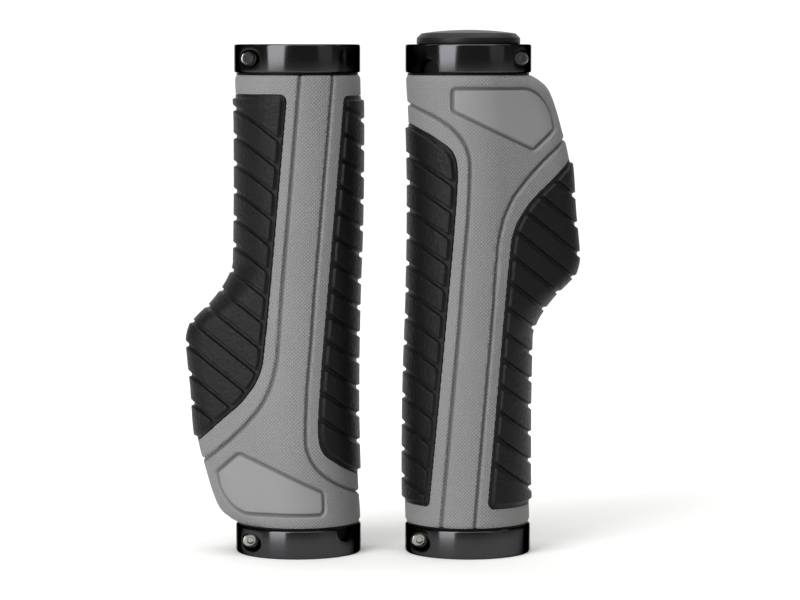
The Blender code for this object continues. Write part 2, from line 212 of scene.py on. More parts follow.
@dataclass(frozen=True)
class KnurledRubber(Finish):
    """Soft rubber moulded in a mould with a fine diamond knurl, which the badge field lacks.

    Attributes:
        pitch: Distance between two ridges of the knurl in mm, measured across them.
        knurl: Depth of the knurl in mm.
        plain: Level of the smooth badge field, between the knurl's valleys (0) and ridges (1).
        mottle: Share by which the colour wanders over a few centimetres.
        valley: Brightness of the knurl's valleys, as a share of the colour: painted shade.
        ridge: Brightness of its ridges: a painted highlight.
        channel: Brightness of the bottom of the moulded channels: painted shade.
    """

    pitch: float = 0.65
    knurl: float = 0.14
    plain: float = 0.4
    mottle: float = 0.04
    valley: float = 0.8
    ridge: float = 1.2
    channel: float = 0.55

    def dress(self, tree: bpy.types.NodeTree, shader: bpy.types.Node) -> None:
        """Add the knurl, a fine grain, a slow change of colour, and painted shade and highlight.

        Args:
            tree: The material's node tree.
            shader: Its Principled shader.
        """
        unrolled = add_node(tree, "ShaderNodeUVMap", uv_map="unrolled").outputs["UV"]
        ridges = []
        for turn in (45.0, -45.0):
            turned = add_node(tree, "ShaderNodeMapping",
                              {"Vector": unrolled, "Rotation": (0.0, 0.0, math.radians(turn))})
            # A wave's period is pi / 10 at scale 1
            wave = add_node(tree, "ShaderNodeTexWave", {"Vector": turned.outputs["Vector"],
                                                        "Scale": math.pi / 10.0 / self.pitch})
            ridges.append(wave.outputs["Fac"])
        diamonds = add_node(tree, "ShaderNodeMath", {0: ridges[0], 1: ridges[1]}, operation="MULTIPLY")
        smooth = add_node(tree, "ShaderNodeAttribute", attribute_name="plain").outputs["Fac"]
        knurl = add_node(tree, "ShaderNodeMix", {"Factor": smooth, 2: diamonds.outputs[0], 3: self.plain})
        place = add_node(tree, "ShaderNodeTexCoord").outputs["Object"]
        noise = add_node(tree, "ShaderNodeTexNoise", {"Vector": place, "Scale": 1.0 / (self.grain * MM),
                                                      "Detail": 2.0})
        fine = add_node(tree, "ShaderNodeBump", {
            "Height": noise.outputs["Fac"], "Distance": self.relief * MM, "Strength": 1.0})
        bump = add_node(tree, "ShaderNodeBump", {
            "Height": knurl.outputs[0], "Distance": self.knurl * MM, "Strength": 1.0,
            "Normal": fine.outputs["Normal"]})
        tree.links.new(bump.outputs["Normal"], shader.inputs["Normal"])
        # Painted shade keeps the knurl's valleys and the channels darker than the ridges, and a painted
        # highlight lifts the ridges
        base = linear(self.colour)
        ends = [tuple(c * share for c in base[:3]) + (1.0,) for share in (self.valley, self.ridge)]
        shade = add_node(tree, "ShaderNodeValToRGB", {"Fac": knurl.outputs[0]})
        for element, place_on_ramp, colour in zip(shade.color_ramp.elements, (0.0, 0.8), ends):
            element.position, element.color = place_on_ramp, colour
        slow = add_node(tree, "ShaderNodeTexNoise", {"Vector": place, "Scale": 60.0, "Detail": 3.0})
        wander = add_node(tree, "ShaderNodeMapRange", {
            "Value": slow.outputs["Fac"], "From Min": 0.3, "From Max": 0.7,
            "To Min": 1.0 - self.mottle, "To Max": 1.0 + self.mottle})
        # Painted shade: the deep mask darkens the bottoms of the channels
        deep = add_node(tree, "ShaderNodeAttribute", attribute_name="deep").outputs["Fac"]
        painted_channel_shade = add_node(tree, "ShaderNodeMapRange", {"Value": deep, "To Min": 1.0, "To Max": self.channel})
        both = add_node(tree, "ShaderNodeMath", {0: wander.outputs["Result"], 1: painted_channel_shade.outputs["Result"]},
                        operation="MULTIPLY")
        tint = add_node(tree, "ShaderNodeVectorMath", {0: shade.outputs["Color"]}, operation="SCALE")
        tree.links.new(both.outputs[0], tint.inputs["Scale"])
        tree.links.new(tint.outputs["Vector"], shader.inputs["Base Color"])


# Thermoplastic rubber: matt, its gloss broken by the knurl
GREY_RUBBER = KnurledRubber("knurled_grey_rubber", "7c7c7c", 0.62, specular=0.35)
# The harder rubber of the ribs: nearly black, with the fine spark grain of its mould
BLACK_RUBBER = Finish("ribbed_black_rubber", "0f0f0f", 0.45, grain=0.9, relief=0.22, variation=0.18,
                      specular=0.17)
# Satin under its dyed oxide layer, which swallows the light even at a glancing angle
ANODISED = Finish("black_anodised_aluminium", "424244", 0.18, 1.0, grain=0.6, relief=0.0015,
                  variation=0.03, edge="606060", turned=0.9)
# Turned and pressed steel screws, bright with light machining marks
STEEL = Finish("bright_steel", "a8a6a2", 0.2, 1.0, grain=0.3, relief=0.0015, variation=0.06)
NYLON = Finish("black_nylon", "080808", 0.55, grain=0.4, relief=0.01, specular=0.1)
# The plug's satin plastic, with a spark-eroded grain
PLUG_NYLON = Finish("satin_black_nylon", "1a1a1a", 0.42, grain=0.3, relief=0.015, specular=0.2)
PALE_CARD = Finish("pale_card", "ececea", 0.9, grain=3.0, relief=0.0, specular=0.1)


# ---------------------------------------------------------------------------------------------
# The rubber's surface
# ---------------------------------------------------------------------------------------------
@dataclass(frozen=True)
class Curve:
    """A smooth value along the grip, through (height, value) points in mm."""

    points: tuple[tuple[float, float], ...]

    def at(self, heights: np.ndarray) -> np.ndarray:
        """Values at some heights, by monotone cubic stretches.

        Args:
            heights: Heights in mm.

        Returns:
            The values in mm.
        """
        known, values = np.array(self.points, float).T
        chords = np.diff(values) / np.diff(known)
        before = np.concatenate([chords[:1], chords])
        after = np.concatenate([chords, chords[-1:]])
        flat = before * after <= 0.0
        total = np.where(flat, 1.0, before + after)
        slopes = np.where(flat, 0.0, 2.0 * before * after / total)
        i = np.clip(np.searchsorted(known, heights, side="right") - 1, 0, len(known) - 2)
        span = known[i + 1] - known[i]
        s = (heights - known[i]) / span
        return ((1 + 2 * s) * (1 - s) ** 2 * values[i] + s * (1 - s) ** 2 * span * slopes[i]
                + s * s * (3 - 2 * s) * values[i + 1] + s * s * (s - 1) * span * slopes[i + 1])


@dataclass(frozen=True)
class RubberForm:
    """Outer form of the rubber: at each height, the hull of a round barrel and of a smaller tip circle.

    Attributes:
        barrel: Radius of the barrel.
        finger: Reach of the finger side from the axis.
        wing: Reach of the wing side from the axis.
        taper: How fast the tip circle shrinks as it moves out.
        least_wing: Smallest distance that keeps the tip apart from the barrel, in mm.
    """

    barrel: Curve = Curve(((0, 15.8), (10, 15.9), (20, 15.8), (50, 15.7), (64, 15.5), (82, 15.3),
                           (100, 15.35), (112, 15.5), (122, 15.85), (130, 15.85)))
    finger: Curve = Curve(((0, 15.8), (10, 16.1), (20, 16.25), (32, 16.2), (46, 15.95), (64, 15.3),
                           (82, 14.95), (92, 14.9), (102, 15.05), (112, 15.35), (122, 15.9),
                           (130, 15.9)))
    wing: Curve = Curve(((0, 15.5), (53, 15.5), (56, 15.9), (58.6, 16.8), (62, 18.7), (66, 21.9),
                         (69, 25.0), (71.6, 27.2), (75.5, 28.0), (80, 27.7), (88, 26.9), (97.5, 26.3),
                         (103, 25.4), (108, 24.0), (113, 22.6), (117.2, 21.1), (119.3, 19.9),
                         (121, 17.9), (122.5, 16.0), (130, 16.0)))
    taper: float = 0.42
    least_wing: float = 0.15

    @property
    def turn(self) -> float:
        """Half of the angle that the tip circle covers."""
        return math.acos(self.taper)

    def sizes(self, height: np.ndarray) -> tuple[np.ndarray, ...]:
        """Sizes of the hull at some heights.

        Args:
            height: Heights in mm.

        Returns:
            Barrel radius, its middle, the tip's distance from there, and the tip's radius.
        """
        radius = self.barrel.at(height)
        middle = radius - self.finger.at(height)
        wing = np.maximum(self.wing.at(height) - middle - radius, self.least_wing)
        tip = wing / (1.0 - self.taper)
        return radius, middle, tip, radius - self.taper * tip

    def reach(self, height: np.ndarray, side: float) -> np.ndarray:
        """Arc from the middle of the front to a silhouette.

        Args:
            height: Heights in mm.
            side: 1 for the wing's silhouette, or -1 for the fingers'.

        Returns:
            The arcs in mm.
        """
        radius, _, tip, tip_radius = self.sizes(height)
        if side < 0:
            return -radius * math.pi / 2.0
        return (radius * (math.pi / 2.0 - self.turn) + tip * math.sin(self.turn)
                + tip_radius * self.turn)

    def place(self, arc: np.ndarray, height: np.ndarray,
              lift: np.ndarray | float) -> tuple[np.ndarray, np.ndarray, np.ndarray]:
        """Points of the front half.

        Args:
            arc: Arcs in mm.
            height: Heights in mm.
            lift: Distances off the plain rubber in mm.

        Returns:
            X, Y, and how squarely the surface faces the front, from 0 to 1.
        """
        radius, middle, tip, tip_radius = self.sizes(height)
        start = radius * (math.pi / 2.0 - self.turn)
        flat = tip * math.sin(self.turn)
        along = np.clip(arc - start, 0.0, flat)
        on_tip = arc > start + flat
        angle = np.where(on_tip, -self.turn + (arc - start - flat) / tip_radius,
                         np.minimum(-math.pi / 2.0 + arc / radius, -self.turn))
        x = np.where(on_tip, middle + tip + tip_radius * np.cos(angle),
                     middle + radius * np.cos(angle) + along * math.sin(self.turn))
        y = np.where(on_tip, tip_radius * np.sin(angle),
                     radius * np.sin(angle) + along * math.cos(self.turn))
        return x + lift * np.cos(angle), y + lift * np.sin(angle), -np.sin(angle)

    def arc_at(self, across: np.ndarray, height: np.ndarray) -> np.ndarray:
        """Arcs of points of the front.

        Args:
            across: How far across the points show from the front, in mm.
            height: Their heights in mm.

        Returns:
            The arcs in mm.
        """
        radius, middle, tip, tip_radius = self.sizes(height)
        start = radius * (math.pi / 2.0 - self.turn)
        flat = tip * math.sin(self.turn)
        edge = middle + radius * self.taper
        on_barrel = radius * np.arcsin(np.clip((across - middle) / radius, -1.0, 1.0))
        on_flat = start + (across - edge) / math.sin(self.turn)
        on_tip = start + flat + tip_radius * (
            self.turn - np.arccos(np.clip((across - middle - tip) / tip_radius, -1.0, 1.0)))
        return np.where(across <= edge, on_barrel,
                        np.where(on_flat <= start + flat, on_flat, on_tip))


@dataclass(frozen=True)
class Trace:
    """A line on the rubber's front.

    Attributes:
        points: (across, height, corner radius) in mm, as the front shows them.
        closed: Whether the line comes back to its start.
        ends_at: Height where the line meets the silhouette and goes on round to the back.
        starts_at: The same, before the first point.
    """

    points: tuple[tuple[float, float, float], ...]
    closed: bool = False
    ends_at: float | None = None
    starts_at: float | None = None

    def rounded(self) -> np.ndarray:
        """Round the line's corners.

        Returns:
            Points of the line as the front shows it, no more than 1 mm apart.
        """
        corners = [np.array(p[:2], float) for p in self.points]
        count = len(corners)
        line: list[np.ndarray] = []
        for i, corner in enumerate(corners):
            if not self.closed and i in (0, count - 1):
                line.append(corner)
                continue
            back, ahead = corners[i - 1] - corner, corners[(i + 1) % count] - corner
            long_back, long_ahead = np.linalg.norm(back), np.linalg.norm(ahead)
            back, ahead = back / long_back, ahead / long_ahead
            bend = math.pi - math.acos(np.clip(back @ ahead, -1.0, 1.0))
            reach = min(self.points[i][2] * math.tan(bend / 2.0), 0.48 * long_back, 0.48 * long_ahead)
            first, last = corner + back * reach, corner + ahead * reach
            for s in np.linspace(0.0, 1.0, 9):
                line.append((1 - s) ** 2 * first + 2 * s * (1 - s) * corner + s * s * last)
        if self.closed:
            line.append(line[0])
        dense = [line[0]]
        for a, b in zip(line, line[1:]):
            steps = max(1, math.ceil(np.linalg.norm(b - a)))
            dense += [a + (b - a) * k / steps for k in range(1, steps + 1)]
        return np.array(dense)

    def route(self, form: RubberForm) -> np.ndarray:
        """The line unrolled: rows of arc and height.

        Args:
            form: The rubber that the line lies on.

        Returns:
            An array of two columns.
        """
        seen = self.rounded()
        line = np.column_stack([form.arc_at(seen[:, 0], seen[:, 1]), seen[:, 1]])
        if self.ends_at is not None:
            line = np.vstack([line, self.run_out(form, line[-2:], self.ends_at)])
        if self.starts_at is not None:
            line = np.vstack([self.run_out(form, line[1::-1], self.starts_at)[::-1], line])
        return line

    @staticmethod
    def run_out(form: RubberForm, last: np.ndarray, height: float) -> np.ndarray:
        """Carry a line on to the silhouette, which it meets squarely.

        Args:
            form: The rubber that the line lies on.
            last: The line's last two points, unrolled.
            height: Height where it meets the silhouette.

        Returns:
            The curve's points, unrolled.
        """
        side = 1.0 if last[1, 0] > 0 else -1.0
        end = np.array([form.reach(np.array(height), side).item(), height])
        step = last[1] - last[0]
        rise = (height - last[1, 1]) / step[1] if abs(step[1]) > 1e-9 else 0.5
        turn = np.array([np.clip(last[1, 0] + rise * step[0], *sorted((last[1, 0], end[0]))), height])
        shares = np.linspace(0.0, 1.0, 17)[1:, None]
        return ((1 - shares) ** 2 * last[1] + 2 * shares * (1 - shares) * turn + shares ** 2 * end)


def distance(line: np.ndarray, arc: np.ndarray, height: np.ndarray) -> np.ndarray:
    """Distance of unrolled points from an unrolled line.

    Args:
        line: Rows of arc and height.
        arc: The points' arcs.
        height: The points' heights.

    Returns:
        The distances in mm.
    """
    best = np.full(arc.shape, 1e9)
    for (a0, h0), (a1, h1) in zip(line, line[1:]):
        da, dh = a1 - a0, h1 - h0
        square = da * da + dh * dh
        if square < 1e-12:
            continue
        share = np.clip(((arc - a0) * da + (height - h0) * dh) / square, 0.0, 1.0)
        best = np.minimum(best, (arc - a0 - share * da) ** 2 + (height - h0 - share * dh) ** 2)
    return np.sqrt(best)


def inside(line: np.ndarray, arc: np.ndarray, height: np.ndarray) -> np.ndarray:
    """Whether unrolled points lie in a closed unrolled line.

    Args:
        line: Rows of arc and height.
        arc: The points' arcs.
        height: The points' heights.

    Returns:
        A truth value for each point.
    """
    count = np.zeros(arc.shape, int)
    for (a0, h0), (a1, h1) in zip(line, np.roll(line, -1, axis=0)):
        if h0 == h1:
            continue
        spans = (h0 <= height) != (h1 <= height)
        count += spans & (arc < a0 + (height - h0) / (h1 - h0) * (a1 - a0))
    return count % 2 == 1


# ---------------------------------------------------------------------------------------------
# Mesh helpers
# ---------------------------------------------------------------------------------------------
def as_mesh(shape: bmesh.types.BMesh, name: str) -> bpy.types.Mesh:
    """Turn a bmesh into a mesh and free it.

    Args:
        shape: The bmesh.
        name: The mesh's name.

    Returns:
        The new mesh.
    """
    mesh = bpy.data.meshes.new(name)
    shape.to_mesh(mesh)
    shape.free()
    return mesh


def opened(mesh: bpy.types.Mesh) -> bmesh.types.BMesh:
    """A mesh as a new bmesh."""
    shape = bmesh.new()
    shape.from_mesh(mesh)
    return shape


def put_back(shape: bmesh.types.BMesh, mesh: bpy.types.Mesh) -> bpy.types.Mesh:
    """Turn a bmesh's faces outwards, write it over a mesh and free it.

    Args:
        shape: The bmesh.
        mesh: The mesh to write over.

    Returns:
        That mesh.
    """
    bmesh.ops.recalc_face_normals(shape, faces=shape.faces)
    shape.to_mesh(mesh)
    shape.free()
    return mesh


def new_items(made: dict[str, list], kind: type) -> list:
    """The vertices or edges among what an operator has made."""
    return [item for item in made["geom"] if isinstance(item, kind)]


def stand(name: str, data: bpy.types.ID) -> bpy.types.Object:
    """Put a mesh, a light or a camera in the scene."""
    item = bpy.data.objects.new(name, data)
    bpy.context.scene.collection.objects.link(item)
    return item


def point_values(mesh: bpy.types.Mesh) -> np.ndarray:
    """A mesh's vertices as rows of three numbers."""
    points = np.empty(len(mesh.vertices) * 3, np.float32)
    mesh.vertices.foreach_get("co", points)
    return points.reshape(-1, 3).astype(float)


def set_points(mesh: bpy.types.Mesh, points: np.ndarray) -> None:
    """Move a mesh's vertices."""
    mesh.vertices.foreach_set("co", points.astype(np.float32).ravel())
    mesh.update()


def add_unrolled_uv(mesh: bpy.types.Mesh, arc: np.ndarray, height: np.ndarray) -> None:
    """Give a mesh a UV map whose units are mm along the arc and the height.

    Args:
        mesh: The mesh.
        arc: Its vertices' arcs.
        height: Its vertices' heights.
    """
    layer = mesh.uv_layers.new(name="unrolled")
    corners = np.empty(len(mesh.loops), np.int32)
    mesh.loops.foreach_get("vertex_index", corners)
    layer.data.foreach_set("uv", np.column_stack([arc, height])[corners].astype(np.float32).ravel())


def cut(mesh: bpy.types.Mesh, tools: list[bpy.types.Mesh],
        operation: str = "DIFFERENCE") -> bpy.types.Mesh:
    """Cut a closed mesh with others, or join them to it.

    Args:
        mesh: The mesh to change.
        tools: Closed meshes in the same place.
        operation: DIFFERENCE, UNION or INTERSECT.

    Returns:
        A new mesh.
    """
    body = stand("body", mesh)
    helpers = [stand("tool", tool) for tool in tools]
    for helper in helpers:
        boolean = body.modifiers.new("cut", "BOOLEAN")
        boolean.operation = operation
        boolean.solver = "EXACT"
        boolean.object = helper
    bpy.context.view_layer.update()
    made = bpy.data.meshes.new_from_object(body.evaluated_get(bpy.context.evaluated_depsgraph_get()))
    for item in [body, *helpers]:
        bpy.data.objects.remove(item)
    return made


def turned(profile: list[tuple[float, float]], closed: bool = True,
           steps: int = ROUND) -> bmesh.types.BMesh:
    """Turn a profile about Z.

    Args:
        profile: (radius, height) points in mm. An open profile starts and ends on the axis.
        closed: Whether the profile is a ring.
        steps: Segments of the full turn.

    Returns:
        The turned shape, in metres, with its faces outwards.
    """
    shape = bmesh.new()
    verts = [shape.verts.new((r * MM, 0.0, z * MM)) for r, z in profile]
    pairs = list(zip(verts, verts[1:])) + ([(verts[-1], verts[0])] if closed else [])
    edges = [shape.edges.new(pair) for pair in pairs]
    bmesh.ops.spin(shape, geom=verts + edges, cent=(0, 0, 0), axis=(0, 0, 1), angle=2.0 * math.pi,
                   steps=steps, use_merge=True)
    bmesh.ops.remove_doubles(shape, verts=shape.verts, dist=1e-7)
    bmesh.ops.recalc_face_normals(shape, faces=shape.faces)
    return shape


def bevel(shape: bmesh.types.BMesh, edges: list[bmesh.types.BMEdge], width: float,
          segments: int = 3) -> None:
    """Round some edges by a width in mm."""
    bmesh.ops.bevel(shape, geom=edges, offset=width * MM, segments=segments, affect="EDGES",
                    profile=0.5, material=-1, clamp_overlap=True)


def sharp_edges(shape: bmesh.types.BMesh, degrees: float = 35.0) -> list[bmesh.types.BMEdge]:
    """Edges of a closed shape that turn by more than an angle."""
    limit = math.radians(degrees)
    return [e for e in shape.edges if len(e.link_faces) == 2 and e.calc_face_angle(0.0) > limit]


def hexagon(radius: float, low: float, high: float) -> bpy.types.Mesh:
    """Closed hexagonal bar on Z.

    Args:
        radius: Radius of its corners in mm.
        low: Height of its lower face.
        high: Height of its upper face.

    Returns:
        A closed mesh.
    """
    shape = bmesh.new()
    bmesh.ops.create_cone(shape, cap_ends=True, segments=6, radius1=radius * MM,
                          radius2=radius * MM, depth=(high - low) * MM)
    bmesh.ops.translate(shape, verts=shape.verts, vec=(0, 0, (high + low) / 2.0 * MM))
    return as_mesh(shape, "hexagon")


def block(size: tuple[float, float, float], middle: tuple[float, float, float]) -> bpy.types.Mesh:
    """Closed block.

    Args:
        size: Its size along each axis in mm.
        middle: Its middle in mm.

    Returns:
        A closed mesh.
    """
    shape = bmesh.new()
    bmesh.ops.create_cube(shape, size=1.0)
    bmesh.ops.scale(shape, verts=shape.verts, vec=[length * MM for length in size])
    bmesh.ops.translate(shape, verts=shape.verts, vec=[place * MM for place in middle])
    return as_mesh(shape, "block")


# ---------------------------------------------------------------------------------------------
# A grip's place and its pieces
# ---------------------------------------------------------------------------------------------
@dataclass
class Grip:
    """Place of one grip, and how its finished pieces join the frame.

    Attributes:
        side: Which grip it is.
        form: The outer form of its rubber.
    """

    side: Side
    form: RubberForm = field(default_factory=RubberForm)

    def __post_init__(self) -> None:
        """Read the grip's axis, turn and length from the frame."""
        low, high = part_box(f"{self.side.value}_outer_collar")
        inner_low, inner_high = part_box(f"{self.side.value}_inner_collar")
        self.collar_height = (high.z - low.z) / MM
        self.collar_radius = (high.x - low.x) / 2.0 / MM
        self.length = (max(high.z, inner_high.z) - min(low.z, inner_low.z)) / MM
        self.core_start = self.collar_height + CLOSE
        turning = f"{self.side.value}_upper_bolt_turn"
        axis = next(joint for joint in frame["joints"] if joint["name"] == turning)["axis"]
        turn = Matrix.Rotation(math.atan2(axis[0], -axis[1]), 4, "Z")
        middle = Vector(((low.x + high.x) / 2.0, (low.y + high.y) / 2.0, 0.0))
        self.place = Matrix.Translation(middle) @ turn
        if self.side is Side.LEFT:
            rise = Matrix.Translation((0.0, 0.0, self.length * MM))
            self.place = self.place @ rise @ Matrix.Rotation(math.pi, 4, "Y")

    def node(self, name: str) -> str:
        """Full name of one of the grip's CAD nodes."""
        return f"{self.side.value}_{name}"

    def add(self, name: str, mesh: bpy.types.Mesh, finish: Finish, node: str, slot: str,
            sharp: float = 35.0) -> bpy.types.Object:
        """Stand a finished mesh in the grip's place and join it to the frame.

        Args:
            name: The piece's name, without its side.
            mesh: Closed mesh in the grip's own frame, in metres.
            finish: What it is made of.
            node: The CAD node that it stands for, without its side.
            slot: The record's material slot; not used.
            sharp: Edges that turn more than this many degrees are shaded sharp.

        Returns:
            The new object.
        """
        mesh.transform(self.place)
        mesh.materials.clear()
        mesh.materials.append(finish.make())
        mesh.shade_smooth()
        mesh.set_sharp_from_angle(angle=math.radians(sharp))
        piece = stand(f"{self.side.value}_{name}", mesh)
        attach(piece, node_body(self.node(node)))
        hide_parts(self.node(node))
        log.info("%s: %d faces", piece.name, len(mesh.polygons))
        return piece


@dataclass
class PadShape:
    """One ribbed pad: its outline and its ribs.

    Attributes:
        name: The pad's name.
        start: Height of the straight edge near the grip's inner end.
        edge: The long edge, from the corner by the inner end to the silhouette.
        first_gap: Height where the first gap's middle would meet the axis.
        pitch: Distance between two gaps there.
        slope: How steeply the ribs fall away from the pad's long edge to the silhouette.
        gaps: How many gaps there are between the ribs.
        half_gap: Half of the gap between two rib tops, along the grip.
        rim: Flat border between the pad's edge and the ribs' feet.
        wall: Width of a rib's sloping wall.
        rim_lift: How far the border stands off the plain rubber.
        rib_height: How far a rib stands off the border.
        rib_corner: Radius of a rib's corners.
        edge_round: Radius of the pad's own edge.
        depth: How far the pad goes down into its pocket.
    """

    name: str
    start: float
    edge: Trace
    first_gap: float
    pitch: float
    slope: float
    gaps: int = 13
    half_gap: float = 0.95
    rim: float = 0.85
    wall: float = 0.42
    rim_lift: float = 0.04
    rib_height: float = 0.8
    rib_corner: float = 0.75
    edge_round: float = 0.22
    depth: float = 1.0

    @property
    def side(self) -> float:
        """1 for the wing's side, -1 for the fingers'."""
        return 1.0 if self.edge.points[-1][0] > 0 else -1.0

    def outline(self, form: RubberForm) -> np.ndarray:
        """The whole unrolled outline of the pad's front half, from silhouette to silhouette."""
        return self.edge.route(form)

    def long_edge(self, form: RubberForm) -> np.ndarray:
        """The outline from the end of the straight start edge on.

        Args:
            form: The rubber that the pad lies in.

        Returns:
            Rows of arc and height.
        """
        line = self.outline(form)
        first = np.nonzero(line[:, 1] > self.start + 1e-6)[0][0] - 1
        return line[first:]

    def rib_depth(self, form: RubberForm, arc: np.ndarray, height: np.ndarray) -> np.ndarray:
        """How far inside a rib's foot each point lies.

        Args:
            form: The rubber that the pad lies in.
            arc: The points' arcs.
            height: The points' heights.

        Returns:
            Distances in mm, negative between the ribs and on the rim.
        """
        across, _, facing = form.place(arc, height, 0.0)
        level = height + self.slope * across
        number = np.clip(np.round((level - self.first_gap) / self.pitch), 0, self.gaps - 1)
        away = np.abs(level - self.first_gap - number * self.pitch)
        stretch = np.sqrt(1.0 + (self.slope * facing) ** 2)
        from_gap = (away - self.half_gap) / stretch + self.wall
        from_rim = distance(self.outline(form), arc, height) - self.rim
        r = self.rib_corner
        a, b = r - from_gap, r - from_rim
        both = (a > 0) & (b > 0)
        return np.where(both, r - np.hypot(np.maximum(a, 0), np.maximum(b, 0)),
                        np.minimum(from_gap, from_rim))

    def lift(self, form: RubberForm, arc: np.ndarray, height: np.ndarray) -> np.ndarray:
        """Height of the pad's surface above the plain rubber.

        Args:
            form: The rubber that the pad lies in.
            arc: The points' arcs.
            height: The points' heights.

        Returns:
            The lifts in mm.
        """
        share = np.clip(self.rib_depth(form, arc, height) / self.wall, 0.0, 1.0)
        rib = self.rib_height * (1.0 - (1.0 - share) ** 2)
        near = np.clip(distance(self.outline(form), arc, height) / self.edge_round, 0.0, 1.0)
        fall = self.edge_round * (1.0 - np.sqrt(1.0 - (1.0 - near) ** 2))
        return self.rim_lift + rib - fall


PALM = PadShape(
    name="palm", start=12.7, first_gap=28.6, pitch=7.01, slope=0.80,
    edge=Trace(((10.0, 12.7, 0.0), (4.0, 12.7, 2.0), (8.3, 62.5, 60.0), (9.1, 71.0, 40.0),
                (9.7, 76.5, 30.0), (10.2, 81.5, 16.0), (11.9, 85.7, 16.0), (15.4, 90.6, 20.0),
                (20.9, 95.6, 40.0), (24.6, 99.3, 0.0)), starts_at=12.7, ends_at=100.9))
FINGER = PadShape(
    name="finger", start=13.1, first_gap=8.35, pitch=6.93, slope=0.69,
    edge=Trace(((-13.5, 13.1, 0.0), (-10.9, 13.1, 2.0), (-6.65, 61.0, 60.0), (-5.0, 80.0, 60.0),
                (-4.2, 91.0, 60.0), (-3.85, 97.5, 12.0), (-4.3, 101.3, 8.0), (-5.6, 103.7, 8.0),
                (-10.2, 107.0, 20.0), (-13.4, 108.8, 0.0)), starts_at=13.1, ends_at=109.9))


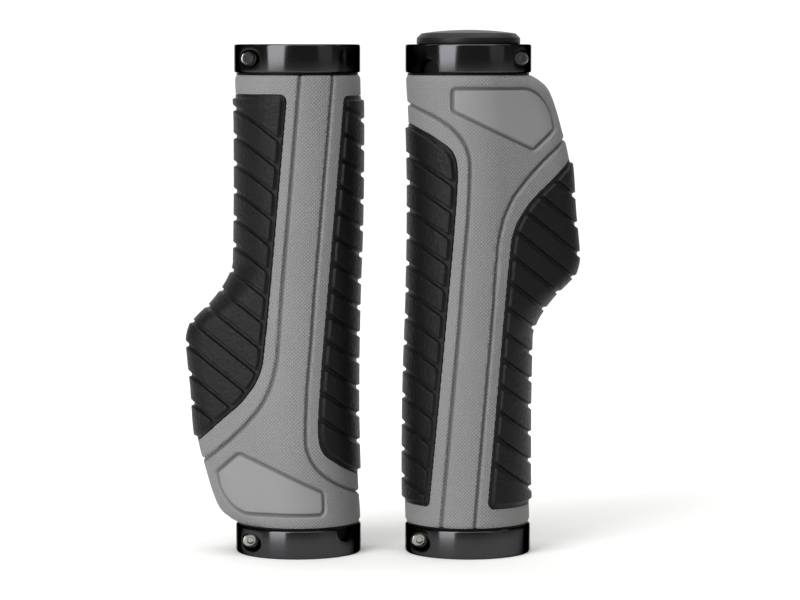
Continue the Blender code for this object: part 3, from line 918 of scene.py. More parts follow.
@dataclass
class RibbedPad:
    """Mesh of a ribbed pad, whose rows of faces follow the ribs.

    Attributes:
        shape: The pad's outline and ribs.
        near: Distances from the long edge, in mm, at which columns of faces start.
        spread: Columns from there to the silhouette.
        across_gap: Distances from a gap's middle, in mm, at which rows of faces start.
        border: Width of the border by the start edge whose rows stand as close as the near columns.
        rows_before: Steps of rows from that border to the first gap.
        rows_between: Steps of rows between two gaps.
        rows_after: Steps of rows from the last gap to the pad's far end.
        crowding: How much closer those stand towards the far end, as a power.
        tail: How far before the end of the long edge the last row starts, in mm.
        stretch: Scale of the near distances, which run slantwise.
        most_near: Largest share of a row that the near columns may take.
        passes: Rounds that bring each point's height and arc together.
    """

    shape: PadShape
    near: tuple[float, ...] = (0.0, 0.05, 0.12, 0.22, 0.55, 0.85, 0.95, 1.05, 1.15, 1.27, 1.45, 1.75, 2.2)
    spread: int = 26
    across_gap: tuple[float, ...] = (-1.6, -1.25, -1.02, -0.92, -0.8, -0.68, -0.56, -0.43, -0.2, 0.2, 0.43,
                                     0.56, 0.68, 0.8, 0.92, 1.02, 1.25, 1.6)
    border: float = 1.8
    rows_before: int = 21
    rows_between: int = 5
    rows_after: int = 55
    crowding: float = 1.6
    tail: float = 0.15
    stretch: float = 1.1
    most_near: float = 0.55
    passes: int = 6

    def rows(self, form: RubberForm) -> tuple[np.ndarray, np.ndarray, np.ndarray]:
        """Rows of faces, each a straight line in the front view.

        Args:
            form: The rubber that the pad lies in.

        Returns:
            For each row, its arc and its height at the pad's edge, and its height at the silhouette.
        """
        shape = self.shape
        edge = shape.long_edge(form)
        across, _, _ = form.place(edge[:, 0], edge[:, 1], 0.0)
        level = edge[:, 1] + shape.slope * across
        walked = np.concatenate([[0.0], np.cumsum(np.hypot(*np.diff(edge, axis=0).T))])
        heights = np.linspace(shape.start, edge[-1, 1], 400)
        rims = form.place(form.reach(heights, shape.side), heights, 0.0)[0]
        rim_level = heights + shape.slope * rims
        last_gap = shape.first_gap + (shape.gaps - 1) * shape.pitch
        first, last = shape.first_gap + self.across_gap[0], last_gap + self.across_gap[-1]
        rising = np.maximum.accumulate(level)
        walk_first, walk_last = np.interp([first, last], rising, walked)
        rim_first, rim_last = np.interp([first, last], rim_level, heights)
        walks, ends = [], []
        border = [d for d in self.near if d < self.border]
        for d in border:
            walks.append(walk_first * 0.5 * d / border[-1])
            ends.append(shape.start + d)
        for share in np.linspace(0.0, 1.0, self.rows_before + 1)[1:-1]:
            walks.append(walks[len(border) - 1] * (1 - share) + walk_first * share)
            ends.append(ends[len(border) - 1] * (1 - share) + rim_first * share)
        for gap in range(shape.gaps):
            middle = shape.first_gap + gap * shape.pitch
            offsets = list(self.across_gap)
            if gap < shape.gaps - 1:
                offsets += list(np.linspace(offsets[-1], shape.pitch + offsets[0],
                                            self.rows_between + 1)[1:-1])
            for offset in offsets:
                walks.append(np.interp(middle + offset, rising, walked).item())
                ends.append(np.interp(middle + offset, rim_level, heights).item())
        for share in np.linspace(0.0, 1.0, self.rows_after + 1)[1:]:
            walks.append(walk_last + (walked[-1] - self.tail - walk_last) * share)
            ends.append(rim_last + (edge[-1, 1] - rim_last) * (1.0 - (1.0 - share) ** self.crowding))
        at = np.array(walks)
        return (np.interp(at, walked, edge[:, 0]), np.interp(at, walked, edge[:, 1]), np.array(ends))

    def build(self, form: RubberForm) -> bpy.types.Mesh:
        """Make the pad: an unrolled slab of faces, rolled round the rubber.

        Args:
            form: The rubber that the pad lies in.

        Returns:
            A closed mesh in the grip's own frame.
        """
        shape = self.shape
        edge_arc, edge_height, rim_height = self.rows(form)
        half = len(self.near) + self.spread
        count = len(edge_arc)
        sheet = bmesh.new()
        bmesh.ops.create_grid(sheet, x_segments=2 * half, y_segments=count - 1, size=1.0)
        slab = bmesh.ops.extrude_face_region(sheet, geom=list(sheet.faces), use_keep_orig=True)
        bmesh.ops.translate(sheet, verts=new_items(slab, bmesh.types.BMVert), vec=(0.0, 0.0, 1.0))
        bmesh.ops.recalc_face_normals(sheet, faces=sheet.faces)
        mesh = as_mesh(sheet, f"{shape.name}_pad")
        points = point_values(mesh)
        column = np.round((points[:, 0] + 1.0) * half).astype(int) - half
        row = np.round((points[:, 1] + 1.0) / 2.0 * (count - 1)).astype(int)
        back, top_side = column > 0, points[:, 2] > 0.5
        inward = half - np.abs(column)

        side = shape.side
        edge_x = form.place(edge_arc, edge_height, 0.0)[0]
        rim_x = form.place(form.reach(rim_height, side), rim_height, 0.0)[0]
        length = np.abs(form.reach(rim_height, side) - edge_arc)
        near = np.array(self.near)
        squeeze = np.minimum(1.0, self.most_near * length / near[-1])
        share = np.empty((count, half + 1))
        for k in range(half + 1):
            if k < len(near):
                share[:, k] = near[k] * self.stretch * squeeze / length
            else:
                rest = (k - len(near) + 1) / (half - len(near) + 1)
                start = near[-1] * self.stretch * squeeze / length
                share[:, k] = start + (1.0 - start) * rest
        # A row is straight in the front view, so its height follows how far across a point is
        height = edge_height[row] + (rim_height - edge_height)[row] * share[row, inward]
        for _ in range(self.passes):
            limit = form.reach(height, side)
            arc = edge_arc[row] + (limit - edge_arc[row]) * share[row, inward]
            x = form.place(arc, height, 0.0)[0]
            span = (rim_x - edge_x)[row]
            part = np.clip((x - edge_x[row]) / np.where(np.abs(span) < 1e-6, 1e-6, span), 0.0, 1.0)
            height = edge_height[row] + (rim_height - edge_height)[row] * part
        limit = form.reach(height, side)
        arc = np.where(inward == half, limit, edge_arc[row] + (limit - edge_arc[row]) * share[row, inward])
        lift = np.where(top_side, shape.lift(form, arc, height), -shape.depth)
        x, y, _ = form.place(arc, height, lift)
        set_points(mesh, np.column_stack([x, np.where(back, -y, y), height]) * MM)
        add_unrolled_uv(mesh, arc, height)
        return closed_outwards(mesh)


def closed_outwards(mesh: bpy.types.Mesh) -> bpy.types.Mesh:
    """Merge a rolled mesh's doubles and turn its faces outwards.

    Args:
        mesh: The rolled mesh.

    Returns:
        The same mesh, closed.
    """
    shape = opened(mesh)
    bmesh.ops.remove_doubles(shape, verts=shape.verts, dist=2e-7)
    bmesh.ops.dissolve_degenerate(shape, edges=shape.edges, dist=1e-7)
    return put_back(shape, mesh)


@dataclass
class Sleeve:
    """The knurled rubber sleeve: pockets for the pads, moulded channels and a badge field.

    Attributes:
        palm_channel: Channel beside the palm pad.
        finger_channel: Channel beside the finger pad.
        badge: Channel round the smooth field for a badge.
        channel_half: Half of a channel's width.
        channel_wall: Width of a channel's sloping wall.
        channel_depth: Depth of a channel.
        pocket_gap: How far a pocket's wall stands outside its pad.
        pocket_depth: Depth of a pocket.
        pocket_wall: Width of a pocket's sloping wall.
        badge_sink: How far the smooth field lies below the knurl.
        lip: Radius of the edge at each end.
        bore: Radius of the bore.
        quarter: Columns of faces in a quarter turn.
        rows: Rows of faces.
        refined: Distances from a feature within which the faces are halved, in mm, once for each.
    """

    palm_channel: Trace = Trace(
        ((0.35, 5.0, 0.0), (5.3, 62.5, 60.0), (6.0, 72.0, 50.0), (6.6, 80.0, 30.0), (8.0, 86.0, 20.0),
         (10.4, 91.4, 20.0), (14.6, 96.5, 30.0), (19.0, 101.0, 60.0), (23.6, 104.9, 0.0)), ends_at=106.0)
    finger_channel: Trace = Trace(
        ((-8.2, 5.0, 0.0), (-3.1, 62.5, 60.0), (-2.2, 75.0, 60.0), (-1.1, 87.0, 60.0), (-0.7, 97.0, 12.0),
         (-0.7, 101.0, 10.0), (-1.7, 104.5, 10.0), (-4.2, 108.0, 14.0), (-8.2, 111.0, 30.0),
         (-13.6, 113.7, 0.0)), ends_at=115.0)
    badge: Trace = Trace(
        ((16.0, 103.4, 1.0), (21.6, 108.5, 1.0), (20.9, 112.0, 9.0), (19.3, 115.2, 9.0), (17.4, 117.5, 9.0),
         (14.6, 118.9, 9.0), (-5.3, 118.9, 1.3), (-5.3, 113.2, 1.5)), closed=True)
    channel_half: float = 0.7
    channel_wall: float = 0.48
    channel_depth: float = 0.75
    pocket_gap: float = 0.18
    pocket_depth: float = 1.25
    pocket_wall: float = 0.22
    badge_sink: float = 0.06
    lip: float = 0.35
    bore: float = 13.0
    quarter: int = 36
    rows: int = 140
    refined: tuple[float, ...] = (1.6, 0.85)

    def lines(self, form: RubberForm) -> tuple[list[np.ndarray], list[np.ndarray]]:
        """Unrolled channels, and unrolled outlines of the two pockets."""
        channels = [t.route(form) for t in (self.palm_channel, self.finger_channel, self.badge)]
        return channels, [pad.outline(form) for pad in (PALM, FINGER)]

    @staticmethod
    def unroll(form: RubberForm, flat: np.ndarray, low: float,
               high: float) -> tuple[np.ndarray, np.ndarray, np.ndarray]:
        """Arc, height and whether at the back, of points on the flat sheet.

        Args:
            form: The rubber's form.
            flat: Points of a sheet from -1 to 1, which starts and ends at the fingers' silhouette.
            low: Lowest height.
            high: Highest height.

        Returns:
            Three arrays.
        """
        height = low + (high - low) * (flat[:, 1] + 1.0) / 2.0
        folded = 1.0 - np.abs(flat[:, 0])
        towards = 2.0 * folded - 1.0
        arc = np.where(towards > 0, towards * form.reach(height, 1.0), -towards * form.reach(height, -1.0))
        return arc, height, flat[:, 0] > 0

    def lift(self, form: RubberForm, arc: np.ndarray, height: np.ndarray, low: float,
             high: float) -> tuple[np.ndarray, np.ndarray, np.ndarray]:
        """Shape the moulded surface.

        Args:
            form: The rubber's form.
            arc: The points' arcs.
            height: The points' heights.
            low: Lowest height of the sleeve.
            high: Highest height.

        Returns:
            The lift, where the surface is plain instead of knurled, and how deep in a channel it lies,
            which sets the channels' painted shade.
        """
        channels, pockets = self.lines(form)
        lift = np.zeros(arc.shape)
        deep = np.zeros(arc.shape)
        for line in channels:
            off = distance(line, arc, height)
            share = eased((self.channel_half - off) / self.channel_wall)
            lift -= self.channel_depth * share
            # How deep in a channel a point lies, as the mask for the channels' painted shade
            deep = np.maximum(deep, share ** 3)
        badge = inside(channels[2], arc, height)
        lift -= np.where(badge, self.badge_sink, 0.0)
        for line in pockets:
            side = 1.0 if line[0, 0] > 0 else -1.0
            closed = np.vstack([line, [[side * BEYOND, line[-1, 1]], [side * BEYOND, line[0, 1]]]])
            off = distance(line, arc, height)
            signed = np.where(inside(closed, arc, height), off, -off) + self.pocket_gap
            lift = np.minimum(lift, -self.pocket_depth * eased(signed / self.pocket_wall))
        near = np.clip(np.minimum(height - low, high - height) / self.lip, 0.0, 1.0)
        lift -= self.lip * (1.0 - np.sqrt(1.0 - (1.0 - near) ** 2))
        near_badge = distance(channels[2], arc, height) < self.channel_half
        return lift, (badge | near_badge).astype(float), deep

    def build(self, grip: Grip) -> bpy.types.Mesh:
        """Make the sleeve: a flat sheet, finer near its features, rolled up and closed by its bore.

        Args:
            grip: The grip that it belongs to.

        Returns:
            A closed mesh in the grip's own frame.
        """
        form = grip.form
        low = grip.core_start + Core.flange + CLOSE
        high = grip.length - low
        sheet = bmesh.new()
        bmesh.ops.create_grid(sheet, x_segments=4 * self.quarter, y_segments=self.rows, size=1.0)
        channels, pockets = self.lines(form)
        for limit in self.refined:
            sheet.verts.index_update()
            flat = np.array([v.co for v in sheet.verts])
            arc, height, _ = self.unroll(form, flat, low, high)
            near = np.min([distance(line, arc, height) for line in channels + pockets], axis=0) < limit
            edges = [e for e in sheet.edges if near[e.verts[0].index] and near[e.verts[1].index]]
            bmesh.ops.subdivide_edges(sheet, edges=edges, cuts=1, use_grid_fill=True)
        mesh = as_mesh(sheet, "sleeve")
        flat = point_values(mesh)
        arc, height, back = self.unroll(form, flat, low, high)
        lift, plain, deep = self.lift(form, arc, height, low, high)
        x, y, _ = form.place(arc, height, lift)
        add_unrolled_uv(mesh, arc, height)
        for name, values in (("plain", plain), ("deep", deep)):
            mesh.attributes.new(name, "FLOAT", "POINT").data.foreach_set("value", values.astype(np.float32))
        set_points(mesh, np.column_stack([x, np.where(back, -y, y), height]) * MM)
        return self.close(mesh)

    def close(self, mesh: bpy.types.Mesh) -> bpy.types.Mesh:
        """Fold both ends of the rolled sheet in to the bore, and line the bore.

        Args:
            mesh: The rolled sheet.

        Returns:
            The same mesh, closed.
        """
        shape = opened(mesh)
        bmesh.ops.remove_doubles(shape, verts=shape.verts, dist=1e-6)
        rims = [e for e in shape.edges if e.is_boundary]
        folded = bmesh.ops.extrude_edge_only(shape, edges=rims)
        for vert in new_items(folded, bmesh.types.BMVert):
            reach = math.hypot(vert.co.x, vert.co.y)
            vert.co.x *= self.bore * MM / reach
            vert.co.y *= self.bore * MM / reach
        bmesh.ops.bridge_loops(shape, edges=[e for e in new_items(folded, bmesh.types.BMEdge)
                                             if e.is_boundary])
        return put_back(shape, mesh)


# ---------------------------------------------------------------------------------------------
# Hard parts
# ---------------------------------------------------------------------------------------------
def key_bar(half_width: float, length: float, angle: float, face: float,
            outward: float) -> bpy.types.Mesh:
    """Bar with a round nose along a radius, for a key of the core or its notch in a collar.

    Args:
        half_width: Half of the key's width in mm.
        length: How far its nose stands out of the face.
        angle: Its place round the grip in degrees from +X.
        face: Height of the face that it grows from.
        outward: 1 if it points to larger heights, or -1.

    Returns:
        A closed mesh.
    """
    # How far the bar goes behind the face, how far out from the axis it starts, and its length
    below, outermost, long = 4.0, 21.0, 14.0
    nose = face + outward * (length - half_width)
    root = face - outward * below
    shape = bmesh.new()
    bmesh.ops.create_circle(shape, cap_ends=True, segments=32, radius=half_width * MM)
    for vert in shape.verts:
        if vert.co.y * outward < 1e-9:
            vert.co.y = (root - nose) * MM
    bmesh.ops.remove_doubles(shape, verts=shape.verts, dist=1e-7)
    bmesh.ops.rotate(shape, verts=shape.verts, cent=(0, 0, 0),
                     matrix=Matrix.Rotation(math.pi / 2.0, 3, "X"))
    bmesh.ops.translate(shape, verts=shape.verts, vec=(0.0, -outermost * MM, nose * MM))
    swept = bmesh.ops.extrude_face_region(shape, geom=list(shape.faces), use_keep_orig=True)
    bmesh.ops.translate(shape, verts=new_items(swept, bmesh.types.BMVert), vec=(0.0, long * MM, 0.0))
    bmesh.ops.rotate(shape, verts=shape.verts, cent=(0, 0, 0),
                     matrix=Matrix.Rotation(math.radians(angle) + math.pi / 2.0, 3, "Z"))
    bmesh.ops.recalc_face_normals(shape, faces=shape.faces)
    return as_mesh(shape, "key")


@dataclass
class Core:
    """Hard tube inside the sleeve, with thin flanges and keys that stop the collars from turning.

    Attributes:
        bore: Radius of the bore.
        radius: Radius of the tube.
        flange_radius: Radius of the flange at each end.
        flange: Thickness of the flanges.
        key_radius: How far out from the axis the keys reach.
        key_half: Half of a key's width.
        key_length: How far a key stands out of its flange.
        key_wall: How far outside the bore a key starts.
        key_root: How deep a key is rooted in its flange.
    """

    bore: float = 11.15
    radius: float = 12.7
    flange_radius: float = 15.5
    flange: float = 0.55
    key_radius: float = 14.4
    key_half: float = 2.9
    key_length: float = 3.2
    key_wall: float = 0.4
    key_root: float = 0.2

    def build(self, grip: Grip, keys: dict[End, tuple[float, ...]]) -> bpy.types.Mesh:
        """Make the tube and its keys.

        Args:
            grip: The grip that it belongs to.
            keys: Angles of the keys at each end.

        Returns:
            A closed mesh in the grip's own frame.
        """
        low, high = grip.core_start, grip.length - grip.core_start
        tube = turned([(self.bore, low), (self.bore, high), (self.flange_radius, high),
                       (self.flange_radius, high - self.flange), (self.radius, high - self.flange),
                       (self.radius, low + self.flange), (self.flange_radius, low + self.flange),
                       (self.flange_radius, low)])
        bevel(tube, sharp_edges(tube), 0.12, 2)
        mesh = as_mesh(tube, "core")
        for end, angles in keys.items():
            face, outward = (high, 1.0) if end is End.OUTER else (low, -1.0)
            for angle in angles:
                root, tip = face - outward * self.key_root, face + outward * self.key_length
                inside_wall = self.bore + self.key_wall
                ring = turned([(inside_wall, root), (self.key_radius, root), (self.key_radius, tip),
                               (inside_wall, tip)])
                bar = key_bar(self.key_half, self.key_length, angle, face, outward)
                mesh = cut(mesh, [cut(as_mesh(ring, "ring"), [bar], "INTERSECT")], "UNION")
        return mesh


@dataclass
class Collar:
    """Split clamp collar: turned, slit, and drilled for its bolt.

    Attributes:
        end: The end of the grip that it clamps.
        bolt_side: 1 if its bolt passes on the wing's side, or -1.
        key_angles: Where its notches are, in degrees from +X.
        bore: Radius of the bore.
        chamfer: Bevel of the outer edges.
        inner_chamfer: Bevel of the bore's edges.
        slit: Width of the slit.
        slit_length: Length of the tool that cuts it, along a radius.
        slit_middle: How far from the axis that tool has its middle.
        bolt_offset: How far the bolt passes beside the axis.
        seat: How far in front of the axis the bolt's head sits.
        hole: Radius of the bolt's hole.
        sink: Radius of the counterbore.
        drill_out: How far the drill reaches out from the seat.
        drill_in: How far the drill reaches in from there.
        mouth: Bevel of the counterbore's mouth.
        key_half: Half of a notch's width.
        key_length: Depth of a notch.
    """

    end: End
    bolt_side: float
    key_angles: tuple[float, ...]
    bore: float = 11.2
    chamfer: float = 0.45
    inner_chamfer: float = 0.3
    slit: float = 1.3
    slit_length: float = 9.0
    slit_middle: float = 14.0
    bolt_offset: float = 12.8
    seat: float = 4.3
    hole: float = 1.3
    sink: float = 2.25
    drill_out: float = 12.0
    drill_in: float = 24.0
    mouth: float = 0.35
    key_half: float = 3.2
    key_length: float = 3.5

    def middle(self, grip: Grip) -> float:
        """Height of the collar's middle."""
        half = grip.collar_height / 2.0
        return half if self.end is End.INNER else grip.length - half

    def bolt_place(self, grip: Grip) -> Matrix:
        """Frame of the bolt: its Z runs out through the head, and 0 is its seat."""
        corner = Vector((self.bolt_side * self.bolt_offset, -self.seat, self.middle(grip))) * MM
        return Matrix.Translation(corner) @ Matrix.Rotation(math.pi / 2.0, 4, "X")

    def build(self, grip: Grip) -> bpy.types.Mesh:
        """Make the collar.

        Args:
            grip: The grip that it belongs to.

        Returns:
            A closed mesh in the grip's own frame.
        """
        half, radius, middle = grip.collar_height / 2.0, grip.collar_radius, self.middle(grip)
        ring = turned([(self.bore, middle - half), (self.bore, middle + half), (radius, middle + half),
                       (radius, middle - half)])
        outer = [e for e in sharp_edges(ring) if e.verts[0].co.xy.length > (self.bore + radius) / 2.0 * MM]
        bevel(ring, outer, self.chamfer)
        inner = [e for e in sharp_edges(ring, 60.0) if e.verts[0].co.xy.length < (self.bore + 1.0) * MM]
        bevel(ring, inner, self.inner_chamfer, 2)
        slit = block((self.slit_length, self.slit, 4.0 * half),
                     (self.bolt_side * self.slit_middle, 0.0, middle))
        hole = as_mesh(turned([(0.0, self.drill_out), (self.sink, self.drill_out), (self.sink, 0.0),
                               (self.hole, 0.0), (self.hole, -self.drill_in), (0.0, -self.drill_in)],
                              closed=False, steps=48), "hole")
        hole.transform(self.bolt_place(grip))
        outward = 1.0 if self.end is End.OUTER else -1.0
        face = middle - outward * half
        notches = [key_bar(self.key_half, self.key_length, a, face, outward) for a in self.key_angles]
        return self.ease_edges(cut(as_mesh(ring, "collar"), [slit, hole, *notches]), grip)

    def ease_edges(self, mesh: bpy.types.Mesh, grip: Grip) -> bpy.types.Mesh:
        """Break the edge of the bolt's counterbore with a small bevel that catches the light.

        Args:
            mesh: The collar with its holes cut.
            grip: The grip that it belongs to.

        Returns:
            A new mesh.
        """
        shape = opened(mesh)
        bmesh.ops.remove_doubles(shape, verts=shape.verts, dist=2e-6)
        to_bolt = self.bolt_place(grip).inverted()
        mouth = []
        for edge in sharp_edges(shape, 30.0):
            ends = [to_bolt @ v.co for v in edge.verts]
            on_sink = all(abs(p.xy.length - self.sink * MM) < 2e-5 for p in ends)
            if on_sink and min(p.z for p in ends) > 1e-4:
                mouth.append(edge)
        bevel(shape, mouth, self.mouth, 2)
        bmesh.ops.recalc_face_normals(shape, faces=shape.faces)
        return as_mesh(shape, "collar")


@dataclass
class Bolt:
    """Socket-head clamp bolt.

    Attributes:
        shank: Radius of the shank, over its thread.
        length: Length of the shank.
        plain: Length of its part without a thread.
        head: Radius of the head.
        height: Height of the head's top over the seat.
        clearance: Height of the head's underside over the seat.
        rim: Bevel of the head's rim.
        socket: Radius of the socket's corners.
        socket_depth: Depth of the socket.
        socket_mouth: Bevel of the socket's mouth.
        thread: Pitch of the thread.
        thread_depth: Depth of the thread.
        end: Length of the plain end past the thread, as turned down to its root.
    """

    shank: float = 1.0
    length: float = 11.0
    plain: float = 2.0
    head: float = 1.95
    height: float = 2.0
    clearance: float = 0.3
    rim: float = 0.3
    socket: float = 0.9
    socket_depth: float = 1.1
    socket_mouth: float = 0.12
    thread: float = 0.4
    thread_depth: float = 0.17
    end: float = 1.0

    def build(self, place: Matrix) -> bpy.types.Mesh:
        """Make the bolt in its place.

        Args:
            place: The bolt's frame.

        Returns:
            A closed mesh in the grip's own frame.
        """
        root = self.shank - self.thread_depth
        profile = [(0.0, self.height), (self.head, self.height), (self.head, self.clearance),
                   (self.shank, self.clearance), (self.shank, -self.plain)]
        for i in range(int((self.length - self.plain - self.end) / self.thread)):
            low = -self.plain - self.thread * i
            profile += [(root, low - self.thread * 0.3), (root, low - self.thread * 0.4),
                        (self.shank, low - self.thread * 0.85), (self.shank, low - self.thread)]
        profile += [(root, -self.length), (0.0, -self.length)]
        body = turned(profile, closed=False, steps=48)
        rim = [e for e in sharp_edges(body) if min(v.co.z for v in e.verts) > (self.height - 0.1) * MM]
        bevel(body, rim, self.rim)
        key = hexagon(self.socket, self.height - self.socket_depth, self.height + 1.0)
        shape = opened(cut(as_mesh(body, "bolt"), [key]))
        mouth = [e for e in sharp_edges(shape, 60.0)
                 if all(v.co.z > (self.height - 0.02) * MM and v.co.xy.length < (self.socket + 0.02) * MM
                        for v in e.verts)]
        bevel(shape, mouth, self.socket_mouth, 1)
        mesh = as_mesh(shape, "bolt")
        mesh.transform(place)
        return mesh


@dataclass
class EndPlug:
    """Push-in plug for the bar's end: a stepped cap on a slotted hollow stem.

    Attributes:
        radius: Radius of the cap.
        band: Height of the cap's upright band.
        slope: Height of the slope above it.
        chamfer: How far that slope runs in.
        dome: Rise of the domed top.
        stem: Radius of the stem.
        wall: Thickness of the stem's wall.
        length: Length of the stem.
        barbs: How many barbs the stem has.
        barb: How far a barb stands off the stem.
        barb_first: How far down the first barb is.
        barb_pitch: Distance between two barbs.
        barb_length: Length of a barb's slope.
        tip: Height and inset of the bevel at the stem's end.
        slot: Width of the slots that part the stem into fingers.
        across: Length of the tools that cut them.
    """

    radius: float = 13.2
    band: float = 1.6
    slope: float = 1.2
    chamfer: float = 1.2
    dome: float = 0.9
    stem: float = 8.8
    wall: float = 1.5
    length: float = 16.0
    barbs: int = 3
    barb: float = 0.5
    barb_first: float = 3.0
    barb_pitch: float = 3.5
    barb_length: float = 2.4
    tip: tuple[float, float] = (1.0, 0.8)
    slot: float = 2.0
    across: float = 40.0

    def build(self, grip: Grip) -> bpy.types.Mesh:
        """Make the plug.

        Args:
            grip: The grip that it belongs to.

        Returns:
            A closed mesh in the grip's own frame.
        """
        shoulder = self.band + self.slope
        rim = self.radius - self.chamfer
        profile = [(rim * s, shoulder + self.dome * (1.0 - s * s)) for s in np.linspace(0.0, 1.0, 14)]
        inner = self.stem - self.wall
        barbs = []
        for i in range(self.barbs):
            top = -self.barb_first - self.barb_pitch * i
            barbs += [(self.stem, top), (self.stem + self.barb, top), (self.stem, top - self.barb_length)]
        profile += [(self.radius, self.band), (self.radius, CLOSE), (self.stem, CLOSE), *barbs,
                    (self.stem, self.tip[0] - self.length), (self.stem - self.tip[1], -self.length),
                    (inner, -self.length), (inner, 0.0), (0.0, 0.0)]
        cap = turned(profile, closed=False)
        edges = [e for e in sharp_edges(cap, 15.0)
                 if e.verts[0].co.xy.length > (rim - 0.3) * MM and e.verts[0].co.z > 0
                 and abs(e.verts[0].co.z - e.verts[1].co.z) < 1e-7]
        bevel(cap, edges, 0.16, 2)
        slots = [block((wide, deep, self.length), (0.0, 0.0, -0.75 * self.length))
                 for wide, deep in ((self.across, self.slot), (self.slot, self.across))]
        mesh = cut(as_mesh(cap, "plug"), slots)
        mesh.transform(Matrix.Translation((0.0, 0.0, grip.length * MM)))
        return mesh


@dataclass
class LockOnGrip:
    """One complete grip.

    Attributes:
        side: Which grip it is.
        inner_bolt_side: 1 if the inner collar's bolt is on the wing's side, or -1.
        plugged: Whether an end plug closes it.
        outer_keys: Angles of the keys at its outer end, in degrees from +X.
        inner_keys: Angles of the keys at its inner end.
    """

    side: Side
    inner_bolt_side: float
    plugged: bool
    outer_keys: tuple[float, ...] = (226.5, 133.5)
    inner_keys: tuple[float, ...] = (90.0,)

    def build(self) -> None:
        """Make, dress and place every piece."""
        grip = Grip(self.side)
        grip.add("knurled_sleeve", Sleeve().build(grip), GREY_RUBBER, "sleeve", "grey_rubber", 50.0)
        for shape in (PALM, FINGER):
            mesh = RibbedPad(shape).build(grip.form)
            grip.add(f"ribbed_{shape.name}_pad", mesh, BLACK_RUBBER, f"{shape.name}_pad", "black_rubber",
                     60.0)
        keys = {End.OUTER: self.outer_keys, End.INNER: self.inner_keys}
        grip.add("keyed_core", Core().build(grip, keys), NYLON, "core", "core_nylon")
        for collar in (Collar(End.INNER, self.inner_bolt_side, self.inner_keys),
                       Collar(End.OUTER, 1.0, self.outer_keys)):
            name = collar.end.value
            grip.add(f"{name}_clamp_collar", collar.build(grip), ANODISED, f"{name}_collar",
                     "anodised_aluminium")
            bolt = Bolt().build(collar.bolt_place(grip))
            grip.add(f"{name}_clamp_bolt", bolt, STEEL, f"{name}_bolt", "steel")
        if self.plugged:
            grip.add("bar_end_plug", EndPlug().build(grip), PLUG_NYLON, "end_plug", "plug_nylon")


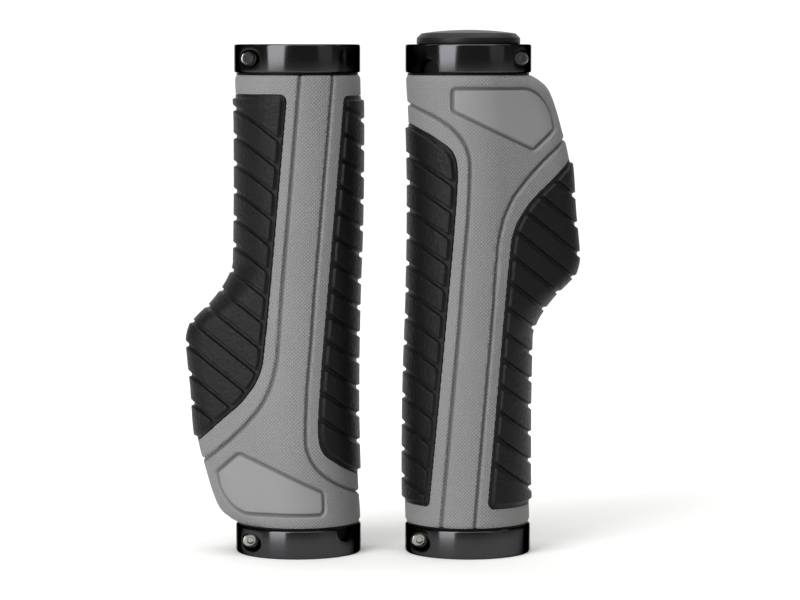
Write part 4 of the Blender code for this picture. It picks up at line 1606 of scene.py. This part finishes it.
# ---------------------------------------------------------------------------------------------
# The stage
# ---------------------------------------------------------------------------------------------
@dataclass
class Studio:
    """Pale sweep, soft lights and the camera, in metres.

    Attributes:
        camera_place: The lens, level with the grips' tops and well in front.
        pitch: How far the camera looks down, in degrees.
        lens: Focal length in mm.
        sensor: Width of the sensor in mm.
        floor: Half of the flat floor's width and depth.
        floor_middle: How far behind the grips the floor has its middle.
        curve: Radius of the curve between the floor and the wall.
        curve_steps: Strips of faces in the curve.
        wall: Height of the wall above the curve.
        ambient: Linear grey of the surroundings.
    """

    camera_place: tuple[float, float, float] = (0.00436, -0.780, 0.127)
    pitch: float = 4.57
    lens: float = 137.3
    sensor: float = 36.0
    floor: tuple[float, float] = (1.6, 0.68)
    floor_middle: float = 0.22
    curve: float = 0.45
    curve_steps: int = 16
    wall: float = 1.2
    ambient: float = 0.12

    def add_sweep(self) -> None:
        """A floor that curves up into a back wall."""
        shape = bmesh.new()
        bmesh.ops.create_grid(shape, x_segments=1, y_segments=1, size=1.0)
        bmesh.ops.scale(shape, verts=shape.verts, vec=(*self.floor, 1.0))
        bmesh.ops.translate(shape, verts=shape.verts, vec=(0.0, self.floor_middle, 0.0))
        back = [e for e in shape.edges if all(v.co.y > 0 for v in e.verts)]
        size = self.curve * math.pi / 2.0 / self.curve_steps
        for i in range(self.curve_steps):
            angle = math.pi / 2.0 * (i + 0.5) / self.curve_steps
            grown = bmesh.ops.extrude_edge_only(shape, edges=back)
            moved = new_items(grown, bmesh.types.BMVert)
            bmesh.ops.translate(shape, verts=moved, vec=(0, size * math.cos(angle), size * math.sin(angle)))
            back = [e for e in new_items(grown, bmesh.types.BMEdge) if all(v in moved for v in e.verts)]
        grown = bmesh.ops.extrude_edge_only(shape, edges=back)
        bmesh.ops.translate(shape, verts=new_items(grown, bmesh.types.BMVert), vec=(0, 0, self.wall))
        mesh = as_mesh(shape, "sweep")
        mesh.shade_smooth()
        mesh.materials.append(PALE_CARD.make())
        sweep = stand("sweep", mesh)

    @staticmethod
    def add_light(name: str, place: tuple[float, float, float], size: tuple[float, float], power: float,
                  target: tuple[float, float, float] = (0.0, 0.0, 0.065)) -> None:
        """Add a softbox that faces the grips.

        Args:
            name: The light's name.
            place: Where it stands, in metres.
            size: Its width and height in metres.
            power: Its power in watts.
            target: What it faces.
        """
        data = bpy.data.lights.new(name, "AREA")
        data.shape = "RECTANGLE"
        data.size, data.size_y = size
        data.energy = power
        light = stand(name, data)
        light.location = place
        light.rotation_euler = (Vector(target) - Vector(place)).to_track_quat("-Z", "Y").to_euler()

    def add_camera(self) -> None:
        """Add the camera and make it the scene's."""
        data = bpy.data.cameras.new("camera")
        data.lens = self.lens
        data.sensor_width = self.sensor
        camera = stand("camera", data)
        camera.location = self.camera_place
        camera.rotation_euler = (math.radians(90.0 - self.pitch), 0.0, 0.0)
        bpy.context.scene.camera = camera

    def build(self) -> None:
        """Set up the whole stage."""
        self.add_sweep()
        self.add_light("main_softbox", (-0.46, -0.58, 0.39), (0.46, 0.9), 7.8)
        self.add_light("side_softbox", (0.62, -0.46, 0.35), (0.40, 0.6), 0.3)
        self.add_light("top_softbox", (0.1, -0.3, 0.95), (1.0, 0.8), 6.2)
        self.add_light("backdrop_light", (0.0, 0.25, 0.9), (1.6, 0.4), 14.0, (0.0, 1.2, 0.3))
        world = bpy.data.worlds.new("studio")
        world.use_nodes = True
        world.node_tree.nodes["Background"].inputs["Color"].default_value = (*[self.ambient] * 3, 1.0)
        bpy.context.scene.world = world
        bpy.context.scene.view_settings.view_transform = "Standard"
        self.add_camera()


def main() -> None:
    """Build the pair and its stage."""
    logging.basicConfig(level=logging.INFO, format="%(name)s: %(message)s")
    for grip in (LockOnGrip(Side.LEFT, 1.0, False), LockOnGrip(Side.RIGHT, -1.0, True)):
        grip.build()
    Studio().build()


if __name__ == "__main__":
    main()
